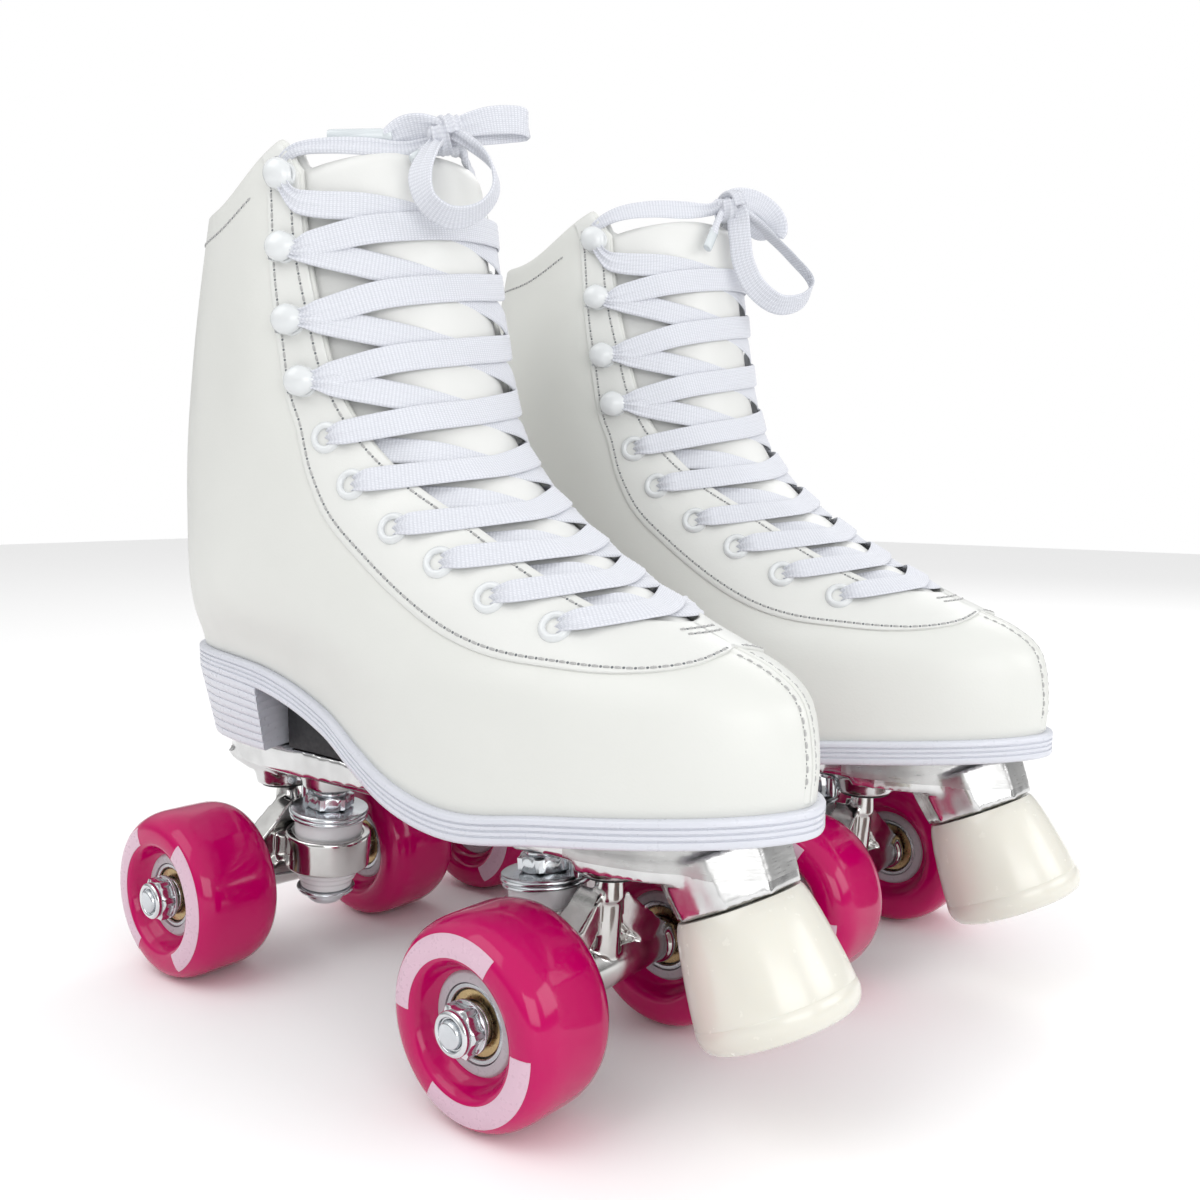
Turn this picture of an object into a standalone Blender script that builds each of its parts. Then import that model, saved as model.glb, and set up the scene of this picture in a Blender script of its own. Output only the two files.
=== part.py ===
"""A pair of quad roller skates: laced boots on metal plates with sprung trucks and four wheels each.

Frame: +X to the toes, +Y to the left skate, +Z up. The wheels stand on z = 0 and the origin is the
middle of the pair's footprint. Each skate is modelled in its own frame, whose origin is on the floor
midway between its two axles, and is then placed by an empty. Metres throughout.
"""
import math

import bpy
import bmesh
from mathutils import Matrix, Vector

# ---------------------------------------------------------------- sizes that can be set
FIT = 0.0003                    # gap between pieces that touch
LASTING_GAP = 0.0011            # the upper's lasted edge above the sole

SKATE_GAP = 0.0104              # between the two skates' axle ends
LEFT_AHEAD = 0.0116             # the left skate stands this far ahead of the right one
WHEELBASE = 0.150               # front axle to rear axle
TRACK = 0.082                   # wheel centre to wheel centre on one axle

WHEEL_RADIUS = 0.029
WHEEL_WIDTH = 0.032
WHEEL_HUB_WIDTH = 0.022
WHEEL_HUB_RADIUS = 0.0145       # the flat hub face at the bottom of the dished side
WHEEL_LIP_RADIUS = 0.0187       # inner edge of the flat face
WHEEL_FACE_RADIUS = 0.0250      # outer edge of the flat face
WHEEL_SHOULDER = 0.0055         # how far the rounded edge of the tread reaches in from each face
BEARING_RADIUS = 0.011
BEARING_WIDTH = 0.007
SPACER_RADIUS = 0.0060
AXLE_RADIUS = 0.004
AXLE_NUT_RADIUS = 0.0075        # across the corners / 2
AXLE_NUT_LENGTH = 0.0065
AXLE_TIP = 0.0015               # axle showing past its nut

KINGPIN_INSET = 0.0197          # ring centre, inboard of the axle
RING_HEIGHT = 0.038             # ring centre above the floor
RING_RADIUS = 0.015
RING_HALF = 0.0055
KINGPIN_LEAN = math.radians(5.7)
KINGPIN_RADIUS = 0.004
KINGPIN_REACH_UP = 0.033        # from the ring centre into the plate's boss
NUT_RADIUS = 0.008
UPPER_CUSHION = 0.0072          # cushion heights and radii
LOWER_CUSHION = 0.0082
CUSHION_RADIUS = 0.0120
CUSHION_TIP_RADIUS = 0.0095
WASHER = 0.0022
WASHER_RADIUS = 0.014
LOWER_WASHER_RADIUS = 0.0105
PIVOT_OUTBOARD = 0.005          # pivot ball, outboard of the axle
PIVOT_HEIGHT = 0.060
PIVOT_RADIUS = 0.0050
PIVOT_PLAY = 0.0005
HOUSING_RADIUS = 0.0065         # the hanger's tube round the axle
HUB_GAP = 0.0008                # hanger end to bearing
RING_PLAY = 0.0022              # between the king bolt and the ring round it
NECK_RADII = 0.0062, 0.0036     # at the axle and at the pivot
STRUT_RADII = 0.0045, 0.0038    # at the axle's end and at the neck
STRUT_INSET = 0.005             # from the end of the axle tube
STRUT_HEIGHT = 0.020            # where the struts meet the neck, above the axle
WEB_HALF_WIDTH = 0.010
NUT_HEIGHT = 0.0045             # the king bolt's nuts

PLATE_BOTTOM = 0.070
PLATE_REAR, PLATE_FRONT = -0.104, 0.128
PLATE_GAP = 0.0004              # between the plate and the sole
PLATE_HALF_WIDTH = 0.023
PLATE_TOE_WIDER = 0.006         # half width added under the toes
PLATE_WAIST = 0.007             # half width taken off in the middle
KINGPIN_BOSS_RADIUS = 0.0095
KINGPIN_BOSS_BELOW = 0.0095     # the boss starts this far below the king bolt's top
PIVOT_BOSS_RADII = 0.0105, 0.013
BOSS_OVERLAP = 0.003            # bosses reaching into the plate
TOE_STOP_TOP = Vector((0.124, 0.0, 0.060))
TOE_STOP_TILT = math.radians(25.8)
TOE_STOP_LENGTH = 0.0345
TOE_STOP_TOP_RADIUS = 0.0178
TOE_STOP_RADIUS = 0.0226
TOE_STOP_EDGE = 0.0032
STEM_RADIUS = 0.005
STEM_LENGTH = 0.013

UPPER_THICKNESS = 0.0024
TONGUE_THICKNESS = 0.0030
INSOLE_THICKNESS = 0.0030
WELT = 0.0024                   # how far the sole stands out round the upper
SOLE_THICKNESS = 0.0072
HEEL_TOP_LINE = 0.0800          # underside of the heel block
HEEL_FRONT = -0.049
HEEL_TAPER = 0.007              # heel block narrower by this at its underside
LACE_RADIUS = 0.0012
LACE_LIFT = 0.0032              # lace centre above the upper
LACE_SPAN_LIFT = 0.0016         # more lift between the facings
LACE_CROSS = 0.0034             # the upper strand's extra height where two strands cross

# The boot's outline by level: 0 is the line where the upper meets the sole, 1 is the collar.
RIDGE_X = [(0, .1445), (.05, .145), (.1, .142), (.15, .133), (.2, .120), (.25, .107), (.4, .073),
           (.55, .040), (.65, .024), (.8, .0155), (1, .011)]
RIDGE_Z = [(0, .088), (.05, .101), (.1, .115), (.15, .123), (.2, .1285), (.25, .134), (.4, .151),
           (.55, .173), (.65, .194), (.8, .229), (1, .284)]
BACK_X = [(0, -.112), (.2, -.109), (.4, -.1065), (.6, -.1025), (.8, -.097), (1, -.0885)]
BACK_Z = [(0, .112), (.2, .125), (.4, .150), (.6, .182), (.8, .220), (1, .260)]
FRONT_HALF_WIDTH = [(0, .0495), (.12, .047), (.25, .045), (.5, .046), (.75, .048), (1, .040)]
BACK_HALF_WIDTH = [(0, .0345), (.25, .045), (.5, .0455), (.75, .0425), (1, .0395)]
FRONT_ROUND = [(0, 1.9), (.5, 2.1), (1, 2.2)]
BACK_ROUND = [(0, 2.7), (1, 2.3)]
FEATHER = [(-.112, .112), (-.049, .110), (-.011, .100), (.009, .092), (.033, .0854), (.060, .0825),
           (.088, .0855), (.116, .0878), (.145, .090)]
WAIST_NIP = 0.003
COLLAR_DIP = 0.009
CORNER_CUT = 0.055              # the facings' top corners are cut lower, as a share of the level
CORNER_ANGLES = (1.03, 1.27)    # fully cut in front of the first, not at all behind the second
CORNER_START = 0.7
# The throat: half opening angle of the facings by level.
THROAT = [(.25, .33), (.29, .40), (.38, .47), (.46, .53), (.54, .66), (.61, .76), (.69, .845), (.79, .905),
          (1, 1.07)]
THROAT_LEVEL = THROAT[0][0]
TONGUE_GAP = 0.0026             # below the inside of the facings
TONGUE_TUCK = 0.17              # tongue reaching under each facing, as an angle
# Lacing stations up one facing as (level, angle): six eyelets, then four hooks.
EYELETS = [(.258, .66), (.322, .78), (.392, .85), (.455, .93), (.534, .98), (.607, .985)]
HOOKS = [(.685, .970), (.777, 1.012), (.890, 1.066), (.965, 1.137)]

UPPER_LEVELS = [0, .04, .09, .16, .25, .34, .45, .57, .70, .85, 1]
UPPER_COLUMNS = 12
ROUND_STEPS = 20
SMALL_STEPS = 12

PAIR = "quad_roller_skates"
TRUCK_TURNS = {"front": 0.0, "rear": math.pi}   # about Z: the rear truck is the front one turned round
COLOURS = {
    "upper": ((0.86, 0.85, 0.82, 1), 0.45, 0.0),
    "tongue": ((0.86, 0.86, 0.84, 1), 0.5, 0.0),
    "insole": ((0.75, 0.75, 0.73, 1), 0.9, 0.0),
    "sole": ((0.80, 0.82, 0.90, 1), 0.4, 0.0),
    "baseplate": ((0.80, 0.80, 0.82, 1), 0.25, 1.0),
    "toe_stop": ((0.86, 0.85, 0.80, 1), 0.3, 0.0),
    "truck": ((0.78, 0.79, 0.80, 1), 0.22, 1.0),
    "axle": ((0.70, 0.71, 0.73, 1), 0.25, 1.0),
    "kingpin": ((0.72, 0.72, 0.72, 1), 0.3, 1.0),
    "cushion": ((0.90, 0.90, 0.90, 1), 0.4, 0.0),
    "wheel": ((0.50, 0.0, 0.13, 1), 0.15, 0.0),
    "bearings": ((0.45, 0.30, 0.14, 1), 0.3, 1.0),
    "axle_nut": ((0.70, 0.71, 0.73, 1), 0.25, 1.0),
    "lace": ((0.80, 0.83, 0.93, 1), 0.8, 0.0),
}

# The bow's route in the skate's frame, from one lace end through both loops to the other end.
BOW_RIGHT = [(-.0120, -.0300, .2768), (-.0060, -.0240, .2765), (.0000, -.0180, .2762), (.0070, -.0110, .2775),
             (.0120, -.0060, .2785), (.0160, .0000, .2800), (.0200, .0070, .2840), (.0230, .0140, .2860),
             (.0240, .0200, .2855), (.0225, .0215, .2810), (.0190, .0150, .2775), (.0150, .0070, .2755),
             (.0135, .0000, .2745), (.0180, -.0070, .2730), (.0235, -.0120, .2660), (.0270, -.0115, .2570),
             (.0300, -.0060, .2520), (.0320, .0005, .2550), (.0300, .0010, .2640), (.0245, -.0020, .2710),
             (.0185, -.0110, .2765), (.0165, -.0170, .2740), (.0170, -.0210, .2700)]
BOW_LEFT = [(-.0120, .0300, .2768), (-.0060, .0240, .2765), (.0000, .0180, .2762), (.0070, .0110, .2775),
            (.0120, .0060, .2785), (.0160, .0000, .2800), (.0190, -.0080, .2840), (.0200, -.0150, .2860),
            (.0195, -.0200, .2840), (.0180, -.0190, .2795), (.0160, -.0120, .2770), (.0140, -.0040, .2750),
            (.0170, .0030, .2735), (.0235, .0080, .2660), (.0270, .0130, .2540), (.0300, .0190, .2420),
            (.0340, .0250, .2370), (.0370, .0290, .2430), (.0350, .0260, .2540), (.0300, .0170, .2650),
            (.0240, .0060, .2720), (.0215, -.0040, .2720), (.0225, -.0110, .2660), (.0230, -.0150, .2600)]

# ---------------------------------------------------------------- sizes that follow
AXLE_X = WHEELBASE / 2
HUB_FACE = TRACK / 2 - WHEEL_HUB_WIDTH / 2
HOUSING_HALF = HUB_FACE - HUB_GAP
NUT_START = TRACK / 2 + WHEEL_HUB_WIDTH / 2 + HUB_GAP
AXLE_HALF = NUT_START + AXLE_NUT_LENGTH + AXLE_TIP
SKATE_SPACING = 2 * AXLE_HALF + SKATE_GAP    # between the centre planes of the two skates
RING = Vector((AXLE_X - KINGPIN_INSET, 0, RING_HEIGHT))
PIVOT = Vector((AXLE_X + PIVOT_OUTBOARD, 0, PIVOT_HEIGHT))
RING_BORE = KINGPIN_RADIUS + RING_PLAY
TOE_STOP_AXIS = Vector((math.sin(TOE_STOP_TILT), 0, -math.cos(TOE_STOP_TILT)))


# ---------------------------------------------------------------- helpers
def start_clean():
    for obj in list(bpy.data.objects):
        bpy.data.objects.remove(obj, do_unlink=True)
    for name in (PAIR, "cutters"):
        bpy.context.scene.collection.children.link(bpy.data.collections.new(name))


def material(kind):
    found = bpy.data.materials.get(kind)
    if found:
        return found
    colour, roughness, metallic = COLOURS[kind]
    made = bpy.data.materials.new(kind)
    made.use_nodes = True
    shader = made.node_tree.nodes["Principled BSDF"]
    shader.inputs["Base Color"].default_value = colour
    shader.inputs["Roughness"].default_value = roughness
    shader.inputs["Metallic"].default_value = metallic
    return made


def empty(name, parent=None, location=(0, 0, 0), turn_z=0.0):
    obj = bpy.data.objects.new(name, None)
    obj.parent = parent
    obj.location = location
    obj.rotation_euler = (0, 0, turn_z)
    obj.empty_display_size = 0.02
    bpy.data.collections[PAIR].objects.link(obj)
    return obj


def add_object(name, mesh, parent=None, kind=None, location=(0, 0, 0), rotation=(0, 0, 0)):
    obj = bpy.data.objects.new(name, mesh)
    obj.parent = parent
    obj.location = location
    obj.rotation_euler = rotation
    bpy.data.collections[PAIR].objects.link(obj)
    if kind and not mesh.materials:
        mesh.materials.append(material(kind))
    return obj


def smooth(mesh, angle=40):
    mesh.shade_smooth()
    mesh.set_sharp_from_angle(angle=math.radians(angle))


def mesh_from(name, points, faces):
    mesh = bpy.data.meshes.new(name)
    mesh.from_pydata([tuple(p) for p in points], [], faces)
    mesh.update()
    return mesh


def baked(name, obj):
    """The evaluated shape of an object as a mesh of its own; the object is removed."""
    depsgraph = bpy.context.evaluated_depsgraph_get()
    mesh = bpy.data.meshes.new_from_object(obj.evaluated_get(depsgraph))
    mesh.transform(obj.matrix_world)
    mesh.name = name
    for modifier in obj.modifiers:
        if modifier.type == 'BOOLEAN' and modifier.object:
            bpy.data.objects.remove(modifier.object, do_unlink=True)
    bpy.data.objects.remove(obj, do_unlink=True)
    return mesh


def turned(name, profile, steps, closed=True):
    """A turned mesh about Z. The profile (radius, height) runs down its outer side."""
    points = [(r, 0, z) for r, z in profile]
    edges = [(i, i + 1) for i in range(len(points) - 1)]
    if closed:
        edges.append((len(points) - 1, 0))
    line = bpy.data.meshes.new(name)
    line.from_pydata(points, edges, [])
    obj = add_object(name, line)
    screw = obj.modifiers.new("Screw", 'SCREW')
    screw.steps = screw.render_steps = steps
    screw.use_merge_vertices = True
    screw.merge_threshold = 1e-5
    bpy.context.view_layer.update()
    mesh = baked(name, obj)
    smooth(mesh)
    return mesh


def bar(name, start, end, radius, end_radius=None, sides=SMALL_STEPS):
    """A round bar or cone between two points."""
    start, end = Vector(start), Vector(end)
    mesh = bpy.data.meshes.new(name)
    shape = bmesh.new()
    bmesh.ops.create_cone(shape, cap_ends=True, segments=sides, radius1=radius,
                          radius2=radius if end_radius is None else end_radius,
                          depth=(end - start).length)
    turn = (end - start).to_track_quat('Z', 'Y').to_matrix().to_4x4()
    shape.transform(Matrix.Translation((start + end) / 2) @ turn)
    shape.to_mesh(mesh)
    shape.free()
    return mesh


def ball(name, centre, radius, segments=10, rings=6):
    mesh = bpy.data.meshes.new(name)
    shape = bmesh.new()
    bmesh.ops.create_uvsphere(shape, u_segments=segments, v_segments=rings, radius=radius)
    shape.transform(Matrix.Translation(centre))
    shape.to_mesh(mesh)
    shape.free()
    return mesh


def block(name, low, high):
    low, high = Vector(low), Vector(high)
    mesh = bpy.data.meshes.new(name)
    shape = bmesh.new()
    bmesh.ops.create_cube(shape, size=1)
    shape.transform(Matrix.Translation((low + high) / 2) @ Matrix.Diagonal((*(high - low), 1)))
    shape.to_mesh(mesh)
    shape.free()
    return mesh


def combined(name, base, steps):
    """Boolean work on a mesh: steps are ('UNION' or 'DIFFERENCE', mesh)."""
    obj = add_object(name, base)
    for number, (operation, tool_mesh) in enumerate(steps):
        tool = bpy.data.objects.new(f"{name}_tool{number}", tool_mesh)
        tool.hide_render = True
        tool.display_type = 'WIRE'
        bpy.data.collections["cutters"].objects.link(tool)
        modifier = obj.modifiers.new(f"{operation.title()}{number}", 'BOOLEAN')
        modifier.operation = operation
        modifier.object = tool
    bpy.context.view_layer.update()
    mesh = baked(name, obj)
    smooth(mesh)
    return mesh


def ease(t):
    t = min(max(t, 0.0), 1.0)
    return t * t * (3 - 2 * t)


def curve(points, t):
    """A smooth curve through (t, value) rows."""
    last = len(points) - 1
    if t <= points[0][0]:
        return points[0][1]
    if t >= points[last][0]:
        return points[last][1]
    k = max(i for i in range(last) if points[i][0] <= t)

    def slope(i):
        low, high = max(i - 1, 0), min(i + 1, last)
        return (points[high][1] - points[low][1]) / (points[high][0] - points[low][0])

    span = points[k + 1][0] - points[k][0]
    q = (t - points[k][0]) / span
    return ((2 * q**3 - 3 * q**2 + 1) * points[k][1] + (q**3 - 2 * q**2 + q) * slope(k) * span
            + (3 * q**2 - 2 * q**3) * points[k + 1][1] + (q**3 - q**2) * slope(k + 1) * span)


# ---------------------------------------------------------------- the boot's surface
def boot_point(level, angle, out=0.0):
    """A point on the boot; angle 0 is the front ridge, pi the heel seam, negative is -Y."""
    if out:
        ahead = boot_point(level + 0.004 if level < 0.99 else level, angle)
        behind = boot_point(level - 0.004 if level > 0.01 else level, angle)
        left, right = boot_point(level, angle + 0.01), boot_point(level, angle - 0.01)
        return boot_point(level, angle) + (left - right).cross(ahead - behind).normalized() * out
    corner = ease((CORNER_ANGLES[1] - abs(angle)) / (CORNER_ANGLES[1] - CORNER_ANGLES[0]))
    level = level - CORNER_CUT * corner * ease((level - CORNER_START) / (1 - CORNER_START))
    cos, sin = math.cos(angle), math.sin(angle)
    roundness = curve(FRONT_ROUND if cos > 0 else BACK_ROUND, level)
    along = (math.copysign(abs(cos) ** (2 / roundness), cos) + 1) / 2
    across = abs(sin) ** (2 / roundness)
    front_x, back_x = curve(RIDGE_X, level), curve(BACK_X, level)
    front_z, back_z = curve(RIDGE_Z, level), curve(BACK_Z, level)
    x = back_x + (front_x - back_x) * along
    back_width, front_width = curve(BACK_HALF_WIDTH, level), curve(FRONT_HALF_WIDTH, level)
    width = back_width + (front_width - back_width) * ease((along - 0.3) / 0.45)
    width -= WAIST_NIP * math.exp(-((along - 0.4) / 0.15) ** 2) * (1 - level) ** 3
    straight = BACK_Z[0][1] + (RIDGE_Z[0][1] - BACK_Z[0][1]) * along
    z = back_z + (front_z - back_z) * along + (curve(FEATHER, x) - straight) * (1 - level) ** 4
    z -= COLLAR_DIP * math.exp(-((along - 0.35) / 0.25) ** 2) * level ** 6
    return Vector((x, math.copysign(width * across, sin), z))


def outline_half_width(x, inset):
    """Half width of the boot's outline at the sole, made smaller by inset (larger if negative)."""
    back, front = BACK_X[0][1] + inset, RIDGE_X[0][1] - inset
    along = min(max((x - back) / (front - back), 0.0), 1.0)
    reach = abs(2 * along - 1)
    roundness = FRONT_ROUND[0][1] if along > 0.5 else BACK_ROUND[0][1]
    back_width, front_width = BACK_HALF_WIDTH[0][1], FRONT_HALF_WIDTH[0][1]
    width = back_width + (front_width - back_width) * ease((along - 0.3) / 0.45)
    width -= WAIST_NIP * math.exp(-((along - 0.4) / 0.15) ** 2)
    return max(width - inset, 0.0) * (1 - reach ** roundness) ** (1 / roundness)


def rim_stations(low, high, count):
    """Places along X, closer together near both ends."""
    middle, half = (low + high) / 2, (high - low) / 2
    return [middle - half * math.cos(math.pi * i / count) for i in range(count + 1)]


def slab(name, stations, half_width, top, bottom, taper=None):
    """A slab along X: its outline is half_width(x), and it closes to a point at both ends."""
    points, rows = [], []
    for i, x in enumerate(stations):
        width = half_width(x) if 0 < i < len(stations) - 1 else 0.0
        sides = (-width, 0.0, width) if width > 0 else (0.0,)
        row = []
        for lower in (False, True):
            for y in sides:
                row.append(len(points))
                point = Vector((x, y, bottom(x) if lower else top(x)))
                points.append(taper(point) if taper and lower else point)
        rows.append((row[:len(sides)], row[len(sides):]))
    faces = []
    for (top_a, low_a), (top_b, low_b) in zip(rows, rows[1:]):
        if len(top_a) == 1:
            faces += [(top_a[0], top_b[0], top_b[1]), (top_a[0], top_b[1], top_b[2])]
            faces += [(low_a[0], low_b[1], low_b[0]), (low_a[0], low_b[2], low_b[1])]
        elif len(top_b) == 1:
            faces += [(top_a[0], top_b[0], top_a[1]), (top_a[1], top_b[0], top_a[2])]
            faces += [(low_a[0], low_a[1], low_b[0]), (low_a[1], low_a[2], low_b[0])]
        else:
            faces += [(top_a[k], top_b[k], top_b[k + 1], top_a[k + 1]) for k in (0, 1)]
            faces += [(low_a[k], low_a[k + 1], low_b[k + 1], low_b[k]) for k in (0, 1)]
        faces.append((top_a[0], low_a[0], low_b[0], top_b[0]))
        faces.append((top_a[-1], top_b[-1], low_b[-1], low_a[-1]))
    mesh = mesh_from(name, points, faces)
    shape = bmesh.new()
    shape.from_mesh(mesh)
    bmesh.ops.recalc_face_normals(shape, faces=shape.faces)
    shape.to_mesh(mesh)
    shape.free()
    return mesh


def shell(name, grid_faces, points, thickness):
    """A closed sheet of the given thickness, laid inside the surface."""
    obj = add_object(name, mesh_from(name, points, grid_faces))
    solidify = obj.modifiers.new("Solidify", 'SOLIDIFY')
    solidify.thickness = thickness
    solidify.offset = -1
    solidify.use_even_offset = True
    bpy.context.view_layer.update()
    mesh = baked(name, obj)
    smooth(mesh, 60)
    return mesh


# ---------------------------------------------------------------- sub-parts of a boot
def make_upper():
    """The leather upper: a boot-shaped shell with a laced throat down its front."""
    points, index = [], {}

    def at(row, column, side):
        level = UPPER_LEVELS[row]
        open_row = level > THROAT_LEVEL
        if column == UPPER_COLUMNS or (column == 0 and not open_row):
            side = 0
        key = (row, column, side)
        if key not in index:
            start = curve(THROAT, level) if open_row else 0.0
            angle = start + (math.pi - start) * column / UPPER_COLUMNS
            index[key] = len(points)
            points.append(boot_point(level, angle * (side or 1)))
        return index[key]

    faces = []
    for side in (1, -1):
        for row in range(len(UPPER_LEVELS) - 1):
            for column in range(UPPER_COLUMNS):
                corners = (at(row, column, side), at(row, column + 1, side),
                           at(row + 1, column + 1, side), at(row + 1, column, side))
                faces.append(corners if side > 0 else corners[::-1])
    return shell("upper", faces, points, UPPER_THICKNESS)


def make_tongue():
    """The tongue: a sheet under the facings, from below the throat to above the collar."""
    levels = [.225, .27, .34, .42, .50, .58, .66, .76, .86, 1.0]
    columns = 8
    points = []
    for level in levels:
        reach = curve(THROAT, level) + TONGUE_TUCK
        for column in range(columns + 1):
            angle = reach * (2 * column / columns - 1)
            points.append(boot_point(level, angle, -UPPER_THICKNESS - TONGUE_GAP))
    wide = columns + 1
    faces = [(r * wide + c, r * wide + c + 1, (r + 1) * wide + c + 1, (r + 1) * wide + c)
             for r in range(len(levels) - 1) for c in range(columns)]
    return shell("tongue", faces, points, TONGUE_THICKNESS)


def feather(x):
    return curve(FEATHER, x)


def make_insole():
    inset = UPPER_THICKNESS + 0.0022
    stations = rim_stations(BACK_X[0][1] + inset, RIDGE_X[0][1] - inset, 22)
    return slab("insole", stations, lambda x: outline_half_width(x, inset),
                lambda x: feather(x) + INSOLE_THICKNESS, feather)


def sole_underside(x):
    """Height of the sole's underside: flat under the heel, sole thickness ahead of it."""
    return HEEL_TOP_LINE if x < HEEL_FRONT else feather(x) - LASTING_GAP - SOLE_THICKNESS


def make_sole():
    """The moulded sole with its heel block."""
    low, high = BACK_X[0][1] - WELT, RIDGE_X[0][1] + WELT
    stations = [x for x in rim_stations(low, high, 30) if abs(x - HEEL_FRONT) > 0.003]
    stations = sorted(stations + [HEEL_FRONT - 0.0004, HEEL_FRONT + 0.0004])
    middle = (low + HEEL_FRONT) / 2

    def taper(point):
        if point.x >= HEEL_FRONT:
            return point
        share = max(0.0, (middle - point.x) / (middle - low))
        width = outline_half_width(point.x, -WELT)
        narrow = max(width - HEEL_TAPER / 2, 0) / width if width > 0 else 0
        return Vector((point.x + HEEL_TAPER * share, point.y * narrow, point.z))

    return slab("sole", stations, lambda x: outline_half_width(x, -WELT),
                lambda x: feather(x) - LASTING_GAP, sole_underside, taper)


# ---------------------------------------------------------------- plate and toe stop
def plate_half_width(x):
    along = (x - PLATE_REAR) / (PLATE_FRONT - PLATE_REAR)
    end = (1 - abs(2 * along - 1) ** 5) ** 0.5
    waist = PLATE_WAIST * math.exp(-((along - 0.45) / 0.16) ** 2)
    return (PLATE_HALF_WIDTH - waist + PLATE_TOE_WIDER * ease((along - 0.6) / 0.2)) * end


def plate_top(x):
    if x < HEEL_FRONT:
        return HEEL_TOP_LINE - PLATE_GAP
    lowest = min(z for _, z in FEATHER) - LASTING_GAP - SOLE_THICKNESS - PLATE_GAP
    return HEEL_TOP_LINE - PLATE_GAP + (lowest - HEEL_TOP_LINE) * ease((x - HEEL_FRONT) / 0.09)


def kingpin_axis():
    return Vector((-math.sin(KINGPIN_LEAN), 0, math.cos(KINGPIN_LEAN)))


def turned_round(mesh):
    """A copy of a mesh turned half round about Z."""
    copy = mesh.copy()
    copy.transform(Matrix.Rotation(math.pi, 4, 'Z'))
    return copy


def make_baseplate():
    """The cast plate: a flat spine with bosses for kingpins, pivots and the toe stop."""
    stations = rim_stations(PLATE_REAR, PLATE_FRONT, 16)
    base = slab("baseplate", stations, plate_half_width, plate_top, lambda x: PLATE_BOTTOM)
    up = kingpin_axis()
    boss_start = RING + up * (KINGPIN_REACH_UP - KINGPIN_BOSS_BELOW)
    boss_end = RING + up * (KINGPIN_REACH_UP + 0.002)
    socket_low = PIVOT - Vector((0, 0, 0.001))
    steps = []
    kingpin_boss = bar("kingpin_boss", boss_start, boss_end, KINGPIN_BOSS_RADIUS)
    pivot_top = Vector((PIVOT.x, 0, PLATE_BOTTOM + BOSS_OVERLAP))
    pivot_boss = bar("pivot_boss", socket_low, pivot_top, *PIVOT_BOSS_RADII)
    kingpin_hole = bar("kingpin_hole", boss_start - up * 0.002, RING + up * (KINGPIN_REACH_UP + FIT),
                       KINGPIN_RADIUS + FIT)
    pivot_socket = ball("pivot_socket", PIVOT, PIVOT_RADIUS + PIVOT_PLAY)
    for tool in (kingpin_boss, pivot_boss):
        steps += [('UNION', tool), ('UNION', turned_round(tool))]
    stop_top = TOE_STOP_TOP - TOE_STOP_AXIS * FIT
    rise = PLATE_BOTTOM + BOSS_OVERLAP - TOE_STOP_TOP.z
    boss_high = TOE_STOP_TOP - TOE_STOP_AXIS * (rise / math.cos(TOE_STOP_TILT))
    steps.append(('UNION', bar("toe_boss", stop_top, boss_high, TOE_STOP_TOP_RADIUS)))
    for tool in (kingpin_hole, pivot_socket):
        steps += [('DIFFERENCE', tool), ('DIFFERENCE', turned_round(tool))]
    hole_top = TOE_STOP_TOP - TOE_STOP_AXIS * (STEM_LENGTH + FIT)
    hole_low = TOE_STOP_TOP + TOE_STOP_AXIS * 0.002
    steps.append(('DIFFERENCE', bar("stem_hole", hole_low, hole_top, STEM_RADIUS + FIT)))
    return combined("baseplate", base, steps)


def make_toe_stop():
    """Rubber stop with its steel stem, turned about its own axis, which points up the stem."""
    low = -TOE_STOP_LENGTH
    profile = [(0, STEM_LENGTH), (STEM_RADIUS, STEM_LENGTH), (STEM_RADIUS, 0),
               (TOE_STOP_TOP_RADIUS, 0), (TOE_STOP_TOP_RADIUS + 0.0012, -0.003),
               (TOE_STOP_RADIUS, low + 2 * TOE_STOP_EDGE), (TOE_STOP_RADIUS - 0.0006, low + TOE_STOP_EDGE),
               (TOE_STOP_RADIUS - TOE_STOP_EDGE, low), (0, low)]
    return turned("toe_stop", profile, 16, closed=False)


# ---------------------------------------------------------------- trucks
def make_truck():
    """A cast hanger about the ring centre: axle tube, ring, pivot arm and the web between them."""
    axle = Vector((KINGPIN_INSET, 0, WHEEL_RADIUS - RING_HEIGHT))
    pivot = PIVOT - RING
    up = kingpin_axis()
    ends = [axle + Vector((0, side * HOUSING_HALF, 0)) for side in (-1, 1)]
    housing = bar("hanger", ends[0], ends[1], HOUSING_RADIUS)
    ring = bar("ring", -up * RING_HALF, up * RING_HALF, RING_RADIUS, None, 16)
    web = block("web", (CUSHION_RADIUS + 0.0015, -WEB_HALF_WIDTH, FIT - RING_HALF),
                (axle.x + 0.001, WEB_HALF_WIDTH, RING_HALF - 0.001))
    neck = bar("neck", axle + Vector((-0.001, 0, 0.003)), pivot, *NECK_RADII)
    steps = [('UNION', ring), ('UNION', web), ('UNION', neck),
             ('UNION', ball("pivot_ball", pivot, PIVOT_RADIUS))]
    for side in (-1, 1):
        shoulder = axle + Vector((0, side * (HOUSING_HALF - STRUT_INSET), 0.001))
        meeting = axle + Vector((0.001, 0, STRUT_HEIGHT))
        steps.append(('UNION', bar("strut", shoulder, meeting, *STRUT_RADII, 10)))
    steps.append(('DIFFERENCE', bar("ring_bore", -up * 0.02, up * (RING_HALF + 0.006), RING_BORE)))
    past = Vector((0, 0.002, 0))
    steps.append(('DIFFERENCE', bar("axle_bore", ends[0] - past, ends[1] + past, AXLE_RADIUS + FIT)))
    return combined("hanger", housing, steps)


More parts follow.
